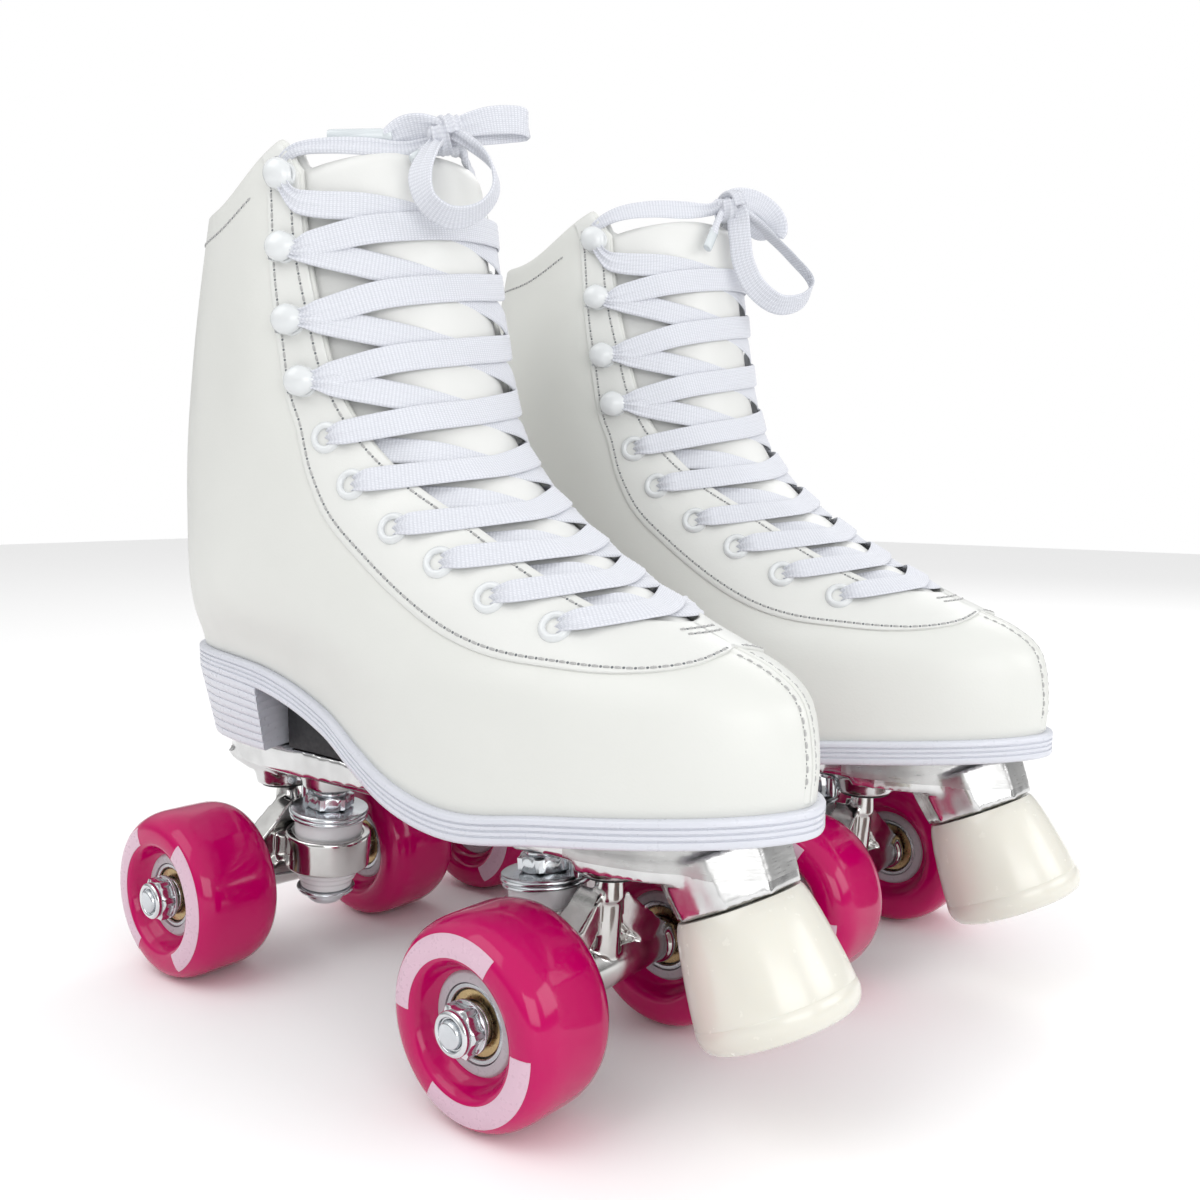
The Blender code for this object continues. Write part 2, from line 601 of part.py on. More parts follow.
def make_kingpin():
    """King bolt about the ring centre, with its nuts and cup washers."""
    top = RING_HALF + FIT + UPPER_CUSHION + FIT
    low = -(RING_HALF + FIT + LOWER_CUSHION + FIT)
    profile = [(0, KINGPIN_REACH_UP), (KINGPIN_RADIUS, KINGPIN_REACH_UP),
               (KINGPIN_RADIUS, top + WASHER + NUT_HEIGHT), (NUT_RADIUS, top + WASHER + NUT_HEIGHT),
               (NUT_RADIUS, top + WASHER), (WASHER_RADIUS, top + WASHER), (WASHER_RADIUS, top),
               (KINGPIN_RADIUS, top), (KINGPIN_RADIUS, low), (LOWER_WASHER_RADIUS, low),
               (LOWER_WASHER_RADIUS, low - WASHER), (NUT_RADIUS, low - WASHER),
               (NUT_RADIUS, low - WASHER - NUT_HEIGHT), (0, low - WASHER - NUT_HEIGHT)]
    return turned("kingpin", profile, 12, closed=False)


def make_cushion(upper):
    """A urethane cushion round the king bolt, about the ring centre."""
    bore = KINGPIN_RADIUS + FIT
    start = RING_HALF + FIT
    if upper:
        profile = [(bore, start + UPPER_CUSHION), (CUSHION_RADIUS, start + UPPER_CUSHION),
                   (CUSHION_RADIUS, start), (bore, start)]
    else:
        profile = [(bore, -start), (CUSHION_RADIUS, -start),
                   (CUSHION_TIP_RADIUS, -start - LOWER_CUSHION), (bore, -start - LOWER_CUSHION)]
    return turned("upper_cushion" if upper else "lower_cushion", profile, SMALL_STEPS)


def make_axle():
    return bar("axle", (0, -AXLE_HALF, 0), (0, AXLE_HALF, 0), AXLE_RADIUS)


def make_wheel():
    """Urethane wheel about its own axis (Z before it is laid on its side)."""
    half, hub = WHEEL_WIDTH / 2, WHEEL_HUB_WIDTH / 2
    bore = BEARING_RADIUS + FIT
    upper = [(bore, hub), (WHEEL_HUB_RADIUS, hub), (WHEEL_LIP_RADIUS, half),
             (WHEEL_FACE_RADIUS, half), (WHEEL_RADIUS, half - WHEEL_SHOULDER)]
    return turned("wheel", upper + [(r, -z) for r, z in reversed(upper)], ROUND_STEPS)


def make_bearings():
    """Two bearings and the sleeve between them, as the wheel carries them."""
    hub = WHEEL_HUB_WIDTH / 2
    bore = AXLE_RADIUS + FIT
    upper = [(bore, hub), (BEARING_RADIUS, hub), (BEARING_RADIUS, hub - BEARING_WIDTH),
             (SPACER_RADIUS, hub - BEARING_WIDTH)]
    return turned("bearings", upper + [(r, -z) for r, z in reversed(upper)], SMALL_STEPS)


def make_axle_nut():
    """Hexagon lock nut; its six-sided bore clears the round axle."""
    bore = (AXLE_RADIUS + FIT) / math.cos(math.pi / 6)
    profile = [(bore, AXLE_NUT_LENGTH), (AXLE_NUT_RADIUS, AXLE_NUT_LENGTH), (AXLE_NUT_RADIUS, 0), (bore, 0)]
    return turned("axle_nut", profile, 6)


# ---------------------------------------------------------------- laces
def tube(name, route, radius):
    """A closed round tube along a route of points."""
    line = bpy.data.curves.new(name, 'CURVE')
    line.dimensions = '3D'
    line.bevel_depth = radius
    line.bevel_resolution = 2
    line.use_fill_caps = True
    spline = line.splines.new('POLY')
    spline.points.add(len(route) - 1)
    for target, point in zip(spline.points, route):
        target.co = (*point, 1)
    obj = bpy.data.objects.new(name, line)
    bpy.data.collections[PAIR].objects.link(obj)
    bpy.context.view_layer.update()
    mesh = baked(name, obj)
    bpy.data.curves.remove(line)
    shape = bmesh.new()
    shape.from_mesh(mesh)
    bmesh.ops.remove_doubles(shape, verts=shape.verts, dist=1e-6)
    bmesh.ops.recalc_face_normals(shape, faces=shape.faces)
    shape.to_mesh(mesh)
    shape.free()
    smooth(mesh)
    return mesh


def lace_route():
    """Criss-cross lacing: down one side's stations, across below the lowest pair, and up again."""
    stations = EYELETS + HOOKS
    top = len(stations) - 1
    turns = []
    side = -1
    for number in range(top, -1, -1):
        turns.append((number, side, -1))
        side = -side
    for number in range(top + 1):
        turns.append((number, side, 1))
        side = -side
    route = []
    for k, (number, side, way) in enumerate(turns):
        level, angle = stations[number]
        step = 0.011
        for shift in (-way * step, way * step):
            route.append(boot_point(level + shift, side * angle, LACE_LIFT))
        if k + 1 == len(turns):
            break
        next_number, next_side, _ = turns[k + 1]
        next_level, next_angle = stations[next_number]
        start = (level + way * step, side * angle)
        end = (next_level - turns[k + 1][2] * step, next_side * next_angle)
        lift = LACE_LIFT + (LACE_CROSS if way > 0 else 0)
        for share in (0.2, 0.5, 0.8):
            route.append(boot_point(start[0] + (end[0] - start[0]) * share,
                                    start[1] + (end[1] - start[1]) * share,
                                    (lift if share == 0.5 else LACE_LIFT) + LACE_SPAN_LIFT))
    return route


# ---------------------------------------------------------------- assembly
def build_skate(name, meshes, pair, x, y, bow):
    skate = empty(f"{name}_skate", pair, (x, y, 0))
    for part in ("upper", "tongue", "insole", "sole", "baseplate", "lace"):
        add_object(f"{name}_{part}", meshes[part], skate, part)
    stop_turn = (0, -TOE_STOP_TILT, 0)
    add_object(f"{name}_toe_stop", meshes["toe_stop"], skate, "toe_stop", TOE_STOP_TOP, stop_turn)
    add_object(f"{name}_lace_bow", tube("lace_bow", bow, LACE_RADIUS), skate, "lace")
    for end, turn in TRUCK_TURNS.items():
        place = Matrix.Rotation(turn, 4, 'Z')
        seat = empty(f"{name}_{end}_kingpin_seat", skate, place @ RING, turn)
        pivot = empty(f"{name}_{end}_truck_pivot", skate, place @ RING, turn)
        lean = (0, -KINGPIN_LEAN, 0)
        add_object(f"{name}_{end}_kingpin", meshes["kingpin"], seat, "kingpin", rotation=lean)
        add_object(f"{name}_{end}_upper_cushion", meshes["upper_cushion"], seat, "cushion", rotation=lean)
        add_object(f"{name}_{end}_lower_cushion", meshes["lower_cushion"], seat, "cushion", rotation=lean)
        add_object(f"{name}_{end}_truck", meshes["hanger"], pivot, "truck")
        axle_at = Vector((KINGPIN_INSET, 0, WHEEL_RADIUS - RING_HEIGHT))
        add_object(f"{name}_{end}_axle", meshes["axle"], pivot, "axle", axle_at)
        for side, side_name in ((1, "left"), (-1, "right")):
            own = side if turn == 0 else -side
            hub = axle_at + Vector((0, own * TRACK / 2, 0))
            label = f"{name}_{end}_{side_name}"
            laid = (math.radians(-90 * own), 0, 0)
            add_object(f"{label}_wheel", meshes["wheel"], pivot, "wheel", hub, laid)
            add_object(f"{label}_bearings", meshes["bearings"], pivot, "bearings", hub, laid)
            nut_at = axle_at + Vector((0, own * NUT_START, 0))
            add_object(f"{label}_axle_nut", meshes["axle_nut"], pivot, "axle_nut", nut_at, laid)
    return skate


def build_pair():
    meshes = {
        "upper": make_upper(), "tongue": make_tongue(), "insole": make_insole(), "sole": make_sole(),
        "baseplate": make_baseplate(), "toe_stop": make_toe_stop(), "hanger": make_truck(),
        "kingpin": make_kingpin(), "upper_cushion": make_cushion(True),
        "lower_cushion": make_cushion(False), "axle": make_axle(), "wheel": make_wheel(),
        "bearings": make_bearings(), "axle_nut": make_axle_nut(),
        "lace": tube("lace", lace_route(), LACE_RADIUS),
    }
    # The pair is centred on its footprint: from the right heel to the left toe stop.
    heel_back = BACK_X[0][1] - WELT
    toe_front = max((TOE_STOP_TOP + TOE_STOP_AXIS * depth).x + radius * math.cos(TOE_STOP_TILT)
                    for radius, depth in ((TOE_STOP_RADIUS, TOE_STOP_LENGTH - 2 * TOE_STOP_EDGE),
                                          (TOE_STOP_RADIUS - 0.0006, TOE_STOP_LENGTH - TOE_STOP_EDGE),
                                          (TOE_STOP_RADIUS - TOE_STOP_EDGE, TOE_STOP_LENGTH)))
    middle = (heel_back - LEFT_AHEAD / 2 + toe_front + LEFT_AHEAD / 2) / 2
    pair = empty("pair", None, (-middle, 0, 0))
    build_skate("right", meshes, pair, -LEFT_AHEAD / 2, -SKATE_SPACING / 2, BOW_RIGHT)
    build_skate("left", meshes, pair, LEFT_AHEAD / 2, SKATE_SPACING / 2, BOW_LEFT)


start_clean()
build_pair()
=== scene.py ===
"""Looks of a pair of laced quad roller skates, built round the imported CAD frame.

Every shape is made once in a skate's own frame (metres, origin on the floor midway between the
axles, +X to the toe, +Y to the left) and is placed for the right and the left skate.
"""
import math

import bpy
import bmesh
import numpy as np
from mathutils import Matrix, Vector


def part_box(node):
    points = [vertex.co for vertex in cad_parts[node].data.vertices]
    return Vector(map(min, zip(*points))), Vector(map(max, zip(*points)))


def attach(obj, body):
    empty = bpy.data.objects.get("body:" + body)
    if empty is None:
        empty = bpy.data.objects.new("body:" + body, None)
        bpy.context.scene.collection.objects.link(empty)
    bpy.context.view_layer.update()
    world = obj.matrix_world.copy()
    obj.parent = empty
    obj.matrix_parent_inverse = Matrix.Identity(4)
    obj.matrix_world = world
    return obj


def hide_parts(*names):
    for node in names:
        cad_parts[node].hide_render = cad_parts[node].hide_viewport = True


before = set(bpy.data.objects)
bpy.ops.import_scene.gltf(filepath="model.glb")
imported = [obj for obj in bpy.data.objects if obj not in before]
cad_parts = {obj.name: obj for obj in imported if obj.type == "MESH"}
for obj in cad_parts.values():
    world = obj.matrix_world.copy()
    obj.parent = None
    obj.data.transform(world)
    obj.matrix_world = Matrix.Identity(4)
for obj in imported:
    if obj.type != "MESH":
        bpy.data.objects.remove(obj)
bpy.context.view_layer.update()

MM = 0.001
SIDES = {"left": 1, "right": -1}
TURNS = {"front": 0.0, "rear": math.pi}


def node_middle(node):
    low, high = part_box(node)
    return (low + high) / 2


def skate_origin(name):
    front, rear = node_middle(f"{name}_front_axle"), node_middle(f"{name}_rear_axle")
    return Vector(((front.x + rear.x) / 2, front.y, 0))


ORIGIN = {name: skate_origin(name) for name in ("right", "left")}
AXLE_X = (node_middle("right_front_axle").x - node_middle("right_rear_axle").x) / 2
AXLE_Z = node_middle("right_front_axle").z
HUB_Y = node_middle("right_front_left_wheel").y - ORIGIN["right"].y
NUT_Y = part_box("right_front_left_axle_nut")[0].y - ORIGIN["right"].y

# ---------------------------------------------------------------- the boot's surface, as in the CAD
RIDGE_X = [(0, .1445), (.05, .145), (.1, .142), (.15, .133), (.2, .120), (.25, .107), (.4, .073),
           (.55, .040), (.65, .024), (.8, .0155), (1, .011)]
RIDGE_Z = [(0, .088), (.05, .101), (.1, .115), (.15, .123), (.2, .1285), (.25, .134), (.4, .151),
           (.55, .173), (.65, .194), (.8, .229), (1, .284)]
BACK_X = [(0, -.112), (.2, -.109), (.4, -.1065), (.6, -.1025), (.8, -.097), (1, -.0885)]
BACK_Z = [(0, .112), (.2, .125), (.4, .150), (.6, .182), (.8, .220), (1, .260)]
FRONT_HALF_WIDTH = [(0, .0495), (.12, .047), (.25, .045), (.5, .046), (.75, .048), (1, .040)]
BACK_HALF_WIDTH = [(0, .0345), (.25, .045), (.5, .0455), (.75, .0425), (1, .0395)]
FRONT_ROUND = [(0, 1.9), (.5, 2.1), (1, 2.2)]
BACK_ROUND = [(0, 2.7), (1, 2.3)]
FEATHER = [(-.112, .112), (-.049, .110), (-.011, .100), (.009, .092), (.033, .0854), (.060, .0825),
           (.088, .0855), (.116, .0878), (.145, .090)]
WAIST_NIP = 0.003
COLLAR_DIP = 0.009
CORNER_CUT = 0.055
CORNER_ANGLES = (1.03, 1.27)
CORNER_START = 0.7
THROAT = [(.25, .33), (.29, .40), (.38, .47), (.46, .53), (.54, .66), (.61, .76), (.69, .845), (.79, .905),
          (1, 1.07)]
THROAT_LEVEL = THROAT[0][0]
EYELETS = [(.258, .66), (.322, .78), (.392, .85), (.455, .93), (.534, .98), (.607, .985)]
HOOKS = [(.685, .970), (.777, 1.012), (.890, 1.066), (.965, 1.137)]
# The facing's outer edge, from the collar to the toe's centre seam.
FACING = [(1.0, 1.40), (.96, 1.33), (.85, 1.23), (.75, 1.16), (.66, 1.145), (.62, 1.135), (.55, 1.19),
          (.47, 1.225), (.39, 1.19), (.30, 1.13), (.25, 1.07), (.21, .97), (.185, .84), (.168, .70),
          (.165, .53), (.172, .36), (.184, .20), (.196, 0.0)]

UPPER_THICKNESS = 0.0024
FACING_THICKNESS = 0.0008
SOLE_THICKNESS = 0.0072
LASTING_GAP = 0.0011
WELT = 0.0024
HEEL_TOP_LINE = 0.0800
HEEL_FRONT = -0.049
HEEL_TAPER = 0.007


def curve(rows, t):
    """A smooth curve through (t, value) rows, for an array of t."""
    x, y = np.array(rows, float).T
    t = np.clip(np.asarray(t, float), x[0], x[-1])
    k = np.clip(np.searchsorted(x, t, side="right") - 1, 0, len(x) - 2)
    low = np.clip(np.arange(len(x)) - 1, 0, len(x) - 1)
    high = np.clip(np.arange(len(x)) + 1, 0, len(x) - 1)
    slope = (y[high] - y[low]) / (x[high] - x[low])
    span = x[k + 1] - x[k]
    q = (t - x[k]) / span
    return ((2 * q**3 - 3 * q**2 + 1) * y[k] + (q**3 - 2 * q**2 + q) * slope[k] * span
            + (3 * q**2 - 2 * q**3) * y[k + 1] + (q**3 - q**2) * slope[k + 1] * span)


def ease(t):
    t = np.clip(t, 0.0, 1.0)
    return t * t * (3 - 2 * t)


def on_boot(level, angle):
    """Points on the boot; angle 0 is the front ridge, pi the heel seam, negative is -Y."""
    level, angle = np.broadcast_arrays(np.asarray(level, float), np.asarray(angle, float))
    corner = ease((CORNER_ANGLES[1] - np.abs(angle)) / (CORNER_ANGLES[1] - CORNER_ANGLES[0]))
    level = level - CORNER_CUT * corner * ease((level - CORNER_START) / (1 - CORNER_START))
    cos, sin = np.cos(angle), np.sin(angle)
    roundness = np.where(cos > 0, curve(FRONT_ROUND, level), curve(BACK_ROUND, level))
    along = (np.copysign(np.abs(cos) ** (2 / roundness), cos) + 1) / 2
    across = np.abs(sin) ** (2 / roundness)
    front_x, back_x = curve(RIDGE_X, level), curve(BACK_X, level)
    front_z, back_z = curve(RIDGE_Z, level), curve(BACK_Z, level)
    x = back_x + (front_x - back_x) * along
    back_width, front_width = curve(BACK_HALF_WIDTH, level), curve(FRONT_HALF_WIDTH, level)
    width = back_width + (front_width - back_width) * ease((along - 0.3) / 0.45)
    width = width - WAIST_NIP * np.exp(-((along - 0.4) / 0.15) ** 2) * (1 - level) ** 3
    straight = BACK_Z[0][1] + (RIDGE_Z[0][1] - BACK_Z[0][1]) * along
    z = back_z + (front_z - back_z) * along + (curve(FEATHER, x) - straight) * (1 - level) ** 4
    z = z - COLLAR_DIP * np.exp(-((along - 0.35) / 0.25) ** 2) * level ** 6
    return np.stack([x, np.copysign(width * across, sin), z], axis=-1)


def unit(v):
    return v / np.maximum(np.linalg.norm(v, axis=-1, keepdims=True), 1e-12)


def boot_normal(level, angle):
    level, angle = np.broadcast_arrays(np.asarray(level, float), np.asarray(angle, float))
    ahead = on_boot(np.minimum(level + 0.004, 1.0), angle)
    behind = on_boot(np.maximum(level - 0.004, 0.0), angle)
    left, right = on_boot(level, angle + 0.01), on_boot(level, angle - 0.01)
    return unit(np.cross(left - right, ahead - behind))


def boot(level, angle, out=0.0):
    """Points at a height above the boot's surface."""
    lift = np.asarray(out, float)[..., None] if np.ndim(out) else out
    return on_boot(level, angle) + boot_normal(level, angle) * lift


def sole_half_width(x, inset):
    back, front = BACK_X[0][1] + inset, RIDGE_X[0][1] - inset
    along = np.clip((x - back) / (front - back), 0.0, 1.0)
    reach = np.abs(2 * along - 1)
    roundness = np.where(along > 0.5, FRONT_ROUND[0][1], BACK_ROUND[0][1])
    width = (BACK_HALF_WIDTH[0][1] + (FRONT_HALF_WIDTH[0][1] - BACK_HALF_WIDTH[0][1])
             * ease((along - .3) / .45))
    width = width - WAIST_NIP * np.exp(-((along - 0.4) / 0.15) ** 2)
    return np.maximum(width - inset, 0.0) * (1 - reach ** roundness) ** (1 / roundness)


# ---------------------------------------------------------------- mesh building
class Shape:
    """Points and faces gathered into one mesh, with a material number on each face."""

    def __init__(self):
        self.points, self.faces, self.kinds, self.count = [], [], [], 0

    def add(self, points, faces, kind=0):
        points = np.asarray(points, float).reshape(-1, 3)
        base = self.count
        self.points.append(points)
        self.faces += [tuple(int(i) + base for i in f) for f in faces]
        self.kinds += [kind] * len(faces)
        self.count += len(points)
        return self

    def grid(self, rows, wrap=False, kind=0):
        """A surface through rows of points; wrap joins each row's end to its start."""
        rows = np.asarray(rows, float)
        high, wide = rows.shape[:2]
        cols = wide if wrap else wide - 1
        faces = [(r * wide + c, r * wide + (c + 1) % wide, (r + 1) * wide + (c + 1) % wide,
                  (r + 1) * wide + c) for r in range(high - 1) for c in range(cols)]
        return self.add(rows.reshape(-1, 3), faces, kind)

    def tube(self, rings, kind=0):
        """Rings of points joined into a closed tube with flat ends."""
        rings = np.asarray(rings, float)
        high, wide = rings.shape[:2]
        faces = [(r * wide + c, r * wide + (c + 1) % wide, (r + 1) * wide + (c + 1) % wide,
                  (r + 1) * wide + c) for r in range(high - 1) for c in range(wide)]
        faces.append(tuple(range(wide - 1, -1, -1)))
        faces.append(tuple(range((high - 1) * wide, high * wide)))
        return self.add(rings.reshape(-1, 3), faces, kind)

    def ring_loop(self, rings, kind=0):
        """Rings of points joined into a closed torus."""
        rings = np.asarray(rings, float)
        high, wide = rings.shape[:2]
        faces = [(r * wide + c, r * wide + (c + 1) % wide, ((r + 1) % high) * wide + (c + 1) % wide,
                  ((r + 1) % high) * wide + c) for r in range(high) for c in range(wide)]
        return self.add(rings.reshape(-1, 3), faces, kind)

    def sheet(self, outer, inner, bulge=0.0, kind=0, steps=3):
        """A closed sheet between two grids, its edge rounded by bulge."""
        outer, inner = np.asarray(outer, float), np.asarray(inner, float)
        high, wide = outer.shape[:2]
        edge = ([(0, c) for c in range(wide - 1)] + [(r, wide - 1) for r in range(high - 1)]
                + [(high - 1, c) for c in range(wide - 1, 0, -1)] + [(r, 0) for r in range(high - 1, 0, -1)])
        size = high * wide
        points = [outer.reshape(-1, 3), inner.reshape(-1, 3)]
        faces = []
        for r in range(high - 1):
            for c in range(wide - 1):
                a, b, d, e = (r * wide + c, r * wide + c + 1, (r + 1) * wide + c + 1, (r + 1) * wide + c)
                faces.append((a, b, d, e))
                faces.append((e + size, d + size, b + size, a + size))
        rim, inward = np.array([outer[i] for i in edge]), []
        under = np.array([inner[i] for i in edge])
        for r, c in edge:
            r2 = min(max(r, 1), high - 2) if high > 2 else r
            c2 = min(max(c, 1), wide - 2) if wide > 2 else c
            inward.append(outer[r, c] - outer[r2, c2])
        away = unit(np.array(inward))
        middle, half = (rim + under) / 2, (rim - under) / 2
        loops = []
        for k in range(1, steps + 1):
            turn = math.pi * k / (steps + 1)
            loops.append(middle + half * math.cos(turn) + away * (bulge * math.sin(turn)))
        count = len(edge)
        start = 2 * size
        points += loops
        chain = [[r * wide + c for r, c in edge]]
        chain += [[start + k * count + i for i in range(count)] for k in range(steps)]
        chain.append([size + r * wide + c for r, c in edge])
        for upper, lower in zip(chain, chain[1:]):
            for i in range(count):
                j = (i + 1) % count
                faces.append((upper[i], lower[i], lower[j], upper[j]))
        return self.add(np.concatenate(points), faces, kind)

    def moved(self, matrix):
        turned = Shape()
        m = np.array(matrix, float)
        turned.points = [p @ m[:3, :3].T + m[:3, 3] for p in self.points]
        turned.faces, turned.kinds, turned.count = list(self.faces), list(self.kinds), self.count
        return turned

    def join(self, other, kind=None):
        base = self.count
        self.points += other.points
        self.faces += [tuple(i + base for i in f) for f in other.faces]
        self.kinds += other.kinds if kind is None else [kind] * len(other.faces)
        self.count += other.count
        return self

    def mesh(self, name, materials, sharp=45):
        made = bpy.data.meshes.new(name)
        made.from_pydata(np.concatenate(self.points).tolist(), [], self.faces)
        for m in materials:
            made.materials.append(m)
        made.polygons.foreach_set("material_index", self.kinds)
        made.validate()
        work = bmesh.new()
        work.from_mesh(made)
        bmesh.ops.remove_doubles(work, verts=work.verts, dist=1e-6)
        bmesh.ops.dissolve_degenerate(work, edges=work.edges, dist=1e-7)
        bmesh.ops.recalc_face_normals(work, faces=work.faces)
        work.to_mesh(made)
        work.free()
        made.shade_smooth()
        made.set_sharp_from_angle(angle=math.radians(sharp))
        return made


def lathe(profile, steps, kind=0, closed=True):
    """A turned shape about Z from (radius, height) rows; closed joins the last row to the first."""
    turn = np.linspace(0, 2 * math.pi, steps, endpoint=False)
    rows = [np.stack([r * np.cos(turn), r * np.sin(turn), np.full(steps, z)], -1) for r, z in profile]
    if closed:
        rows.append(rows[0])
        return Shape().grid(rows, wrap=True, kind=kind)
    return Shape().tube(rows, kind=kind)


def rounded_profile(profile, radius, steps=3):
    """The same profile with its inner corners cut round by radius."""
    points = [np.array(p, float) for p in profile]
    made = [tuple(points[0])]
    for before, here, after in zip(points, points[1:], points[2:]):
        a, b = before - here, after - here
        reach = min(radius, np.linalg.norm(a) * 0.45, np.linalg.norm(b) * 0.45)
        start, end = here + unit(a) * reach, here + unit(b) * reach
        for k in range(steps + 1):
            t = k / steps
            made.append(tuple((1 - t) ** 2 * start + 2 * t * (1 - t) * here + t * t * end))
    made.append(tuple(points[-1]))
    return made


def smooth_line(points, count):
    """Evenly spaced points on a smooth line through the given rows (any number of columns)."""
    points = np.asarray(points, float)
    chord = np.r_[0, np.cumsum(np.linalg.norm(np.diff(points[:, :3], axis=0), axis=1))]
    dense = np.linspace(0, chord[-1], count * 8)
    columns = [curve(list(zip(chord, column)), dense) for column in points.T]
    line = np.stack(columns, -1)
    run = np.r_[0, np.cumsum(np.linalg.norm(np.diff(line[:, :3], axis=0), axis=1))]
    even = np.linspace(0, run[-1], count)
    return np.stack([np.interp(even, run, column) for column in line.T], -1)


def line_length(points):
    return float(np.linalg.norm(np.diff(np.asarray(points)[:, :3], axis=0), axis=1).sum())


def bar(start, end, radius, end_radius=None, sides=24, kind=0):
    start, end = Vector(start), Vector(end)
    turn = (end - start).to_track_quat('Z', 'Y').to_matrix().to_4x4()
    last = radius if end_radius is None else end_radius
    return lathe([(radius, 0), (last, (end - start).length)], sides, kind, closed=False).moved(
        Matrix.Translation(start) @ turn)


def box_shape(low, high, kind=0):
    (a, b, c), (d, e, f) = low, high
    points = [(a, b, c), (d, b, c), (d, e, c), (a, e, c), (a, b, f), (d, b, f), (d, e, f), (a, e, f)]
    faces = [(3, 2, 1, 0), (4, 5, 6, 7), (0, 1, 5, 4), (1, 2, 6, 5), (2, 3, 7, 6), (3, 0, 4, 7)]
    return Shape().add(points, faces, kind)


def cast(name, shape, voxel, passes, materials):
    """Overlapping closed shapes fused into one casting with softened corners."""
    rough = shape.mesh(name + "_rough", [])
    obj = bpy.data.objects.new(name + "_rough", rough)
    bpy.context.scene.collection.objects.link(obj)
    remesh = obj.modifiers.new("Remesh", 'REMESH')
    remesh.mode = 'VOXEL'
    remesh.voxel_size = voxel
    smooth = obj.modifiers.new("Smooth", 'SMOOTH')
    smooth.factor = 0.5
    smooth.iterations = passes
    bpy.context.view_layer.update()
    made = bpy.data.meshes.new_from_object(obj.evaluated_get(bpy.context.evaluated_depsgraph_get()))
    made.name = name
    bpy.data.objects.remove(obj, do_unlink=True)
    bpy.data.meshes.remove(rough)
    made.materials.clear()
    for m in materials:
        made.materials.append(m)
    made.shade_smooth()
    return made


# ---------------------------------------------------------------- materials
def new_material(name, base, roughness, metallic=0.0, **extra):
    made = bpy.data.materials.new(name)
    made.use_nodes = True
    nodes, links = made.node_tree.nodes, made.node_tree.links
    shader = nodes["Principled BSDF"]
    shader.inputs["Base Color"].default_value = (*base, 1)
    shader.inputs["Roughness"].default_value = roughness
    shader.inputs["Metallic"].default_value = metallic
    for key, value in extra.items():
        shader.inputs[key.replace("_", " ")].default_value = value
    return made, nodes, links, shader


def coordinates(nodes, links, scale):
    """Object coordinates through a mapping with its own scale on each axis."""
    source = nodes.new("ShaderNodeTexCoord")
    mapping = nodes.new("ShaderNodeMapping")
    mapping.inputs["Scale"].default_value = scale
    links.new(source.outputs["Object"], mapping.inputs["Vector"])
    return mapping.outputs["Vector"]


def noise(nodes, links, vector, scale, detail=3.0, roughness=0.5):
    made = nodes.new("ShaderNodeTexNoise")
    made.inputs["Scale"].default_value = scale
    made.inputs["Detail"].default_value = detail
    made.inputs["Roughness"].default_value = roughness
    links.new(vector, made.inputs["Vector"])
    return made.outputs["Fac"]


def ramp(nodes, links, value, rows):
    made = nodes.new("ShaderNodeValToRGB")
    stops = made.color_ramp.elements
    while len(stops) < len(rows):
        stops.new(0.5)
    for stop, (place, colour) in zip(stops, rows):
        stop.position = place
        stop.color = (*colour, 1) if len(colour) == 3 else colour
    links.new(value, made.inputs["Fac"])
    return made.outputs["Color"]


def bump(nodes, links, shader, height, strength, distance, after=None):
    made = nodes.new("ShaderNodeBump")
    made.inputs["Strength"].default_value = strength
    made.inputs["Distance"].default_value = distance
    links.new(height, made.inputs["Height"])
    if after is not None:
        links.new(after, made.inputs["Normal"])
    links.new(made.outputs["Normal"], shader.inputs["Normal"])
    return made.outputs["Normal"]


def leather(name, base, dark, roughness, grain=1400, strength=0.12):
    made, nodes, links, shader = new_material(name, base, roughness, Specular_IOR_Level=0.45,
                                              Coat_Weight=0.12, Coat_Roughness=0.35)
    vector = coordinates(nodes, links, (1, 1, 1))
    tint = noise(nodes, links, vector, 14, 3)
    links.new(ramp(nodes, links, tint, [(0.3, dark), (0.7, base)]), shader.inputs["Base Color"])
    rough = noise(nodes, links, vector, 60, 2)
    links.new(ramp(nodes, links, rough, [(0.3, (roughness - .06,) * 3), (0.7, (roughness + .08,) * 3)]),
              shader.inputs["Roughness"])
    cells = nodes.new("ShaderNodeTexVoronoi")
    cells.feature = 'SMOOTH_F1'
    cells.inputs["Scale"].default_value = grain
    links.new(vector, cells.inputs["Vector"])
    first = bump(nodes, links, shader, cells.outputs["Distance"], strength, 0.0002)
    waves = noise(nodes, links, vector, 35, 2)
    bump(nodes, links, shader, waves, 0.10, 0.002, first)
    return made


def metal(name, base, roughness, stretch, strength, scale=900, dark=None):
    made, nodes, links, shader = new_material(name, base, roughness, 1.0)
    vector = coordinates(nodes, links, stretch)
    streaks = noise(nodes, links, vector, scale, 4, 0.6)
    links.new(ramp(nodes, links, streaks, [(0.25, (roughness * .7,) * 3), (0.8, (roughness * 1.7,) * 3)]),
              shader.inputs["Roughness"])
    plain = coordinates(nodes, links, (1, 1, 1))
    cloud = noise(nodes, links, plain, 90, 3)
    low = dark or tuple(c * 0.78 for c in base)
    links.new(ramp(nodes, links, cloud, [(0.3, low), (0.65, base)]), shader.inputs["Base Color"])
    bump(nodes, links, shader, streaks, strength, 0.0001)
    return made


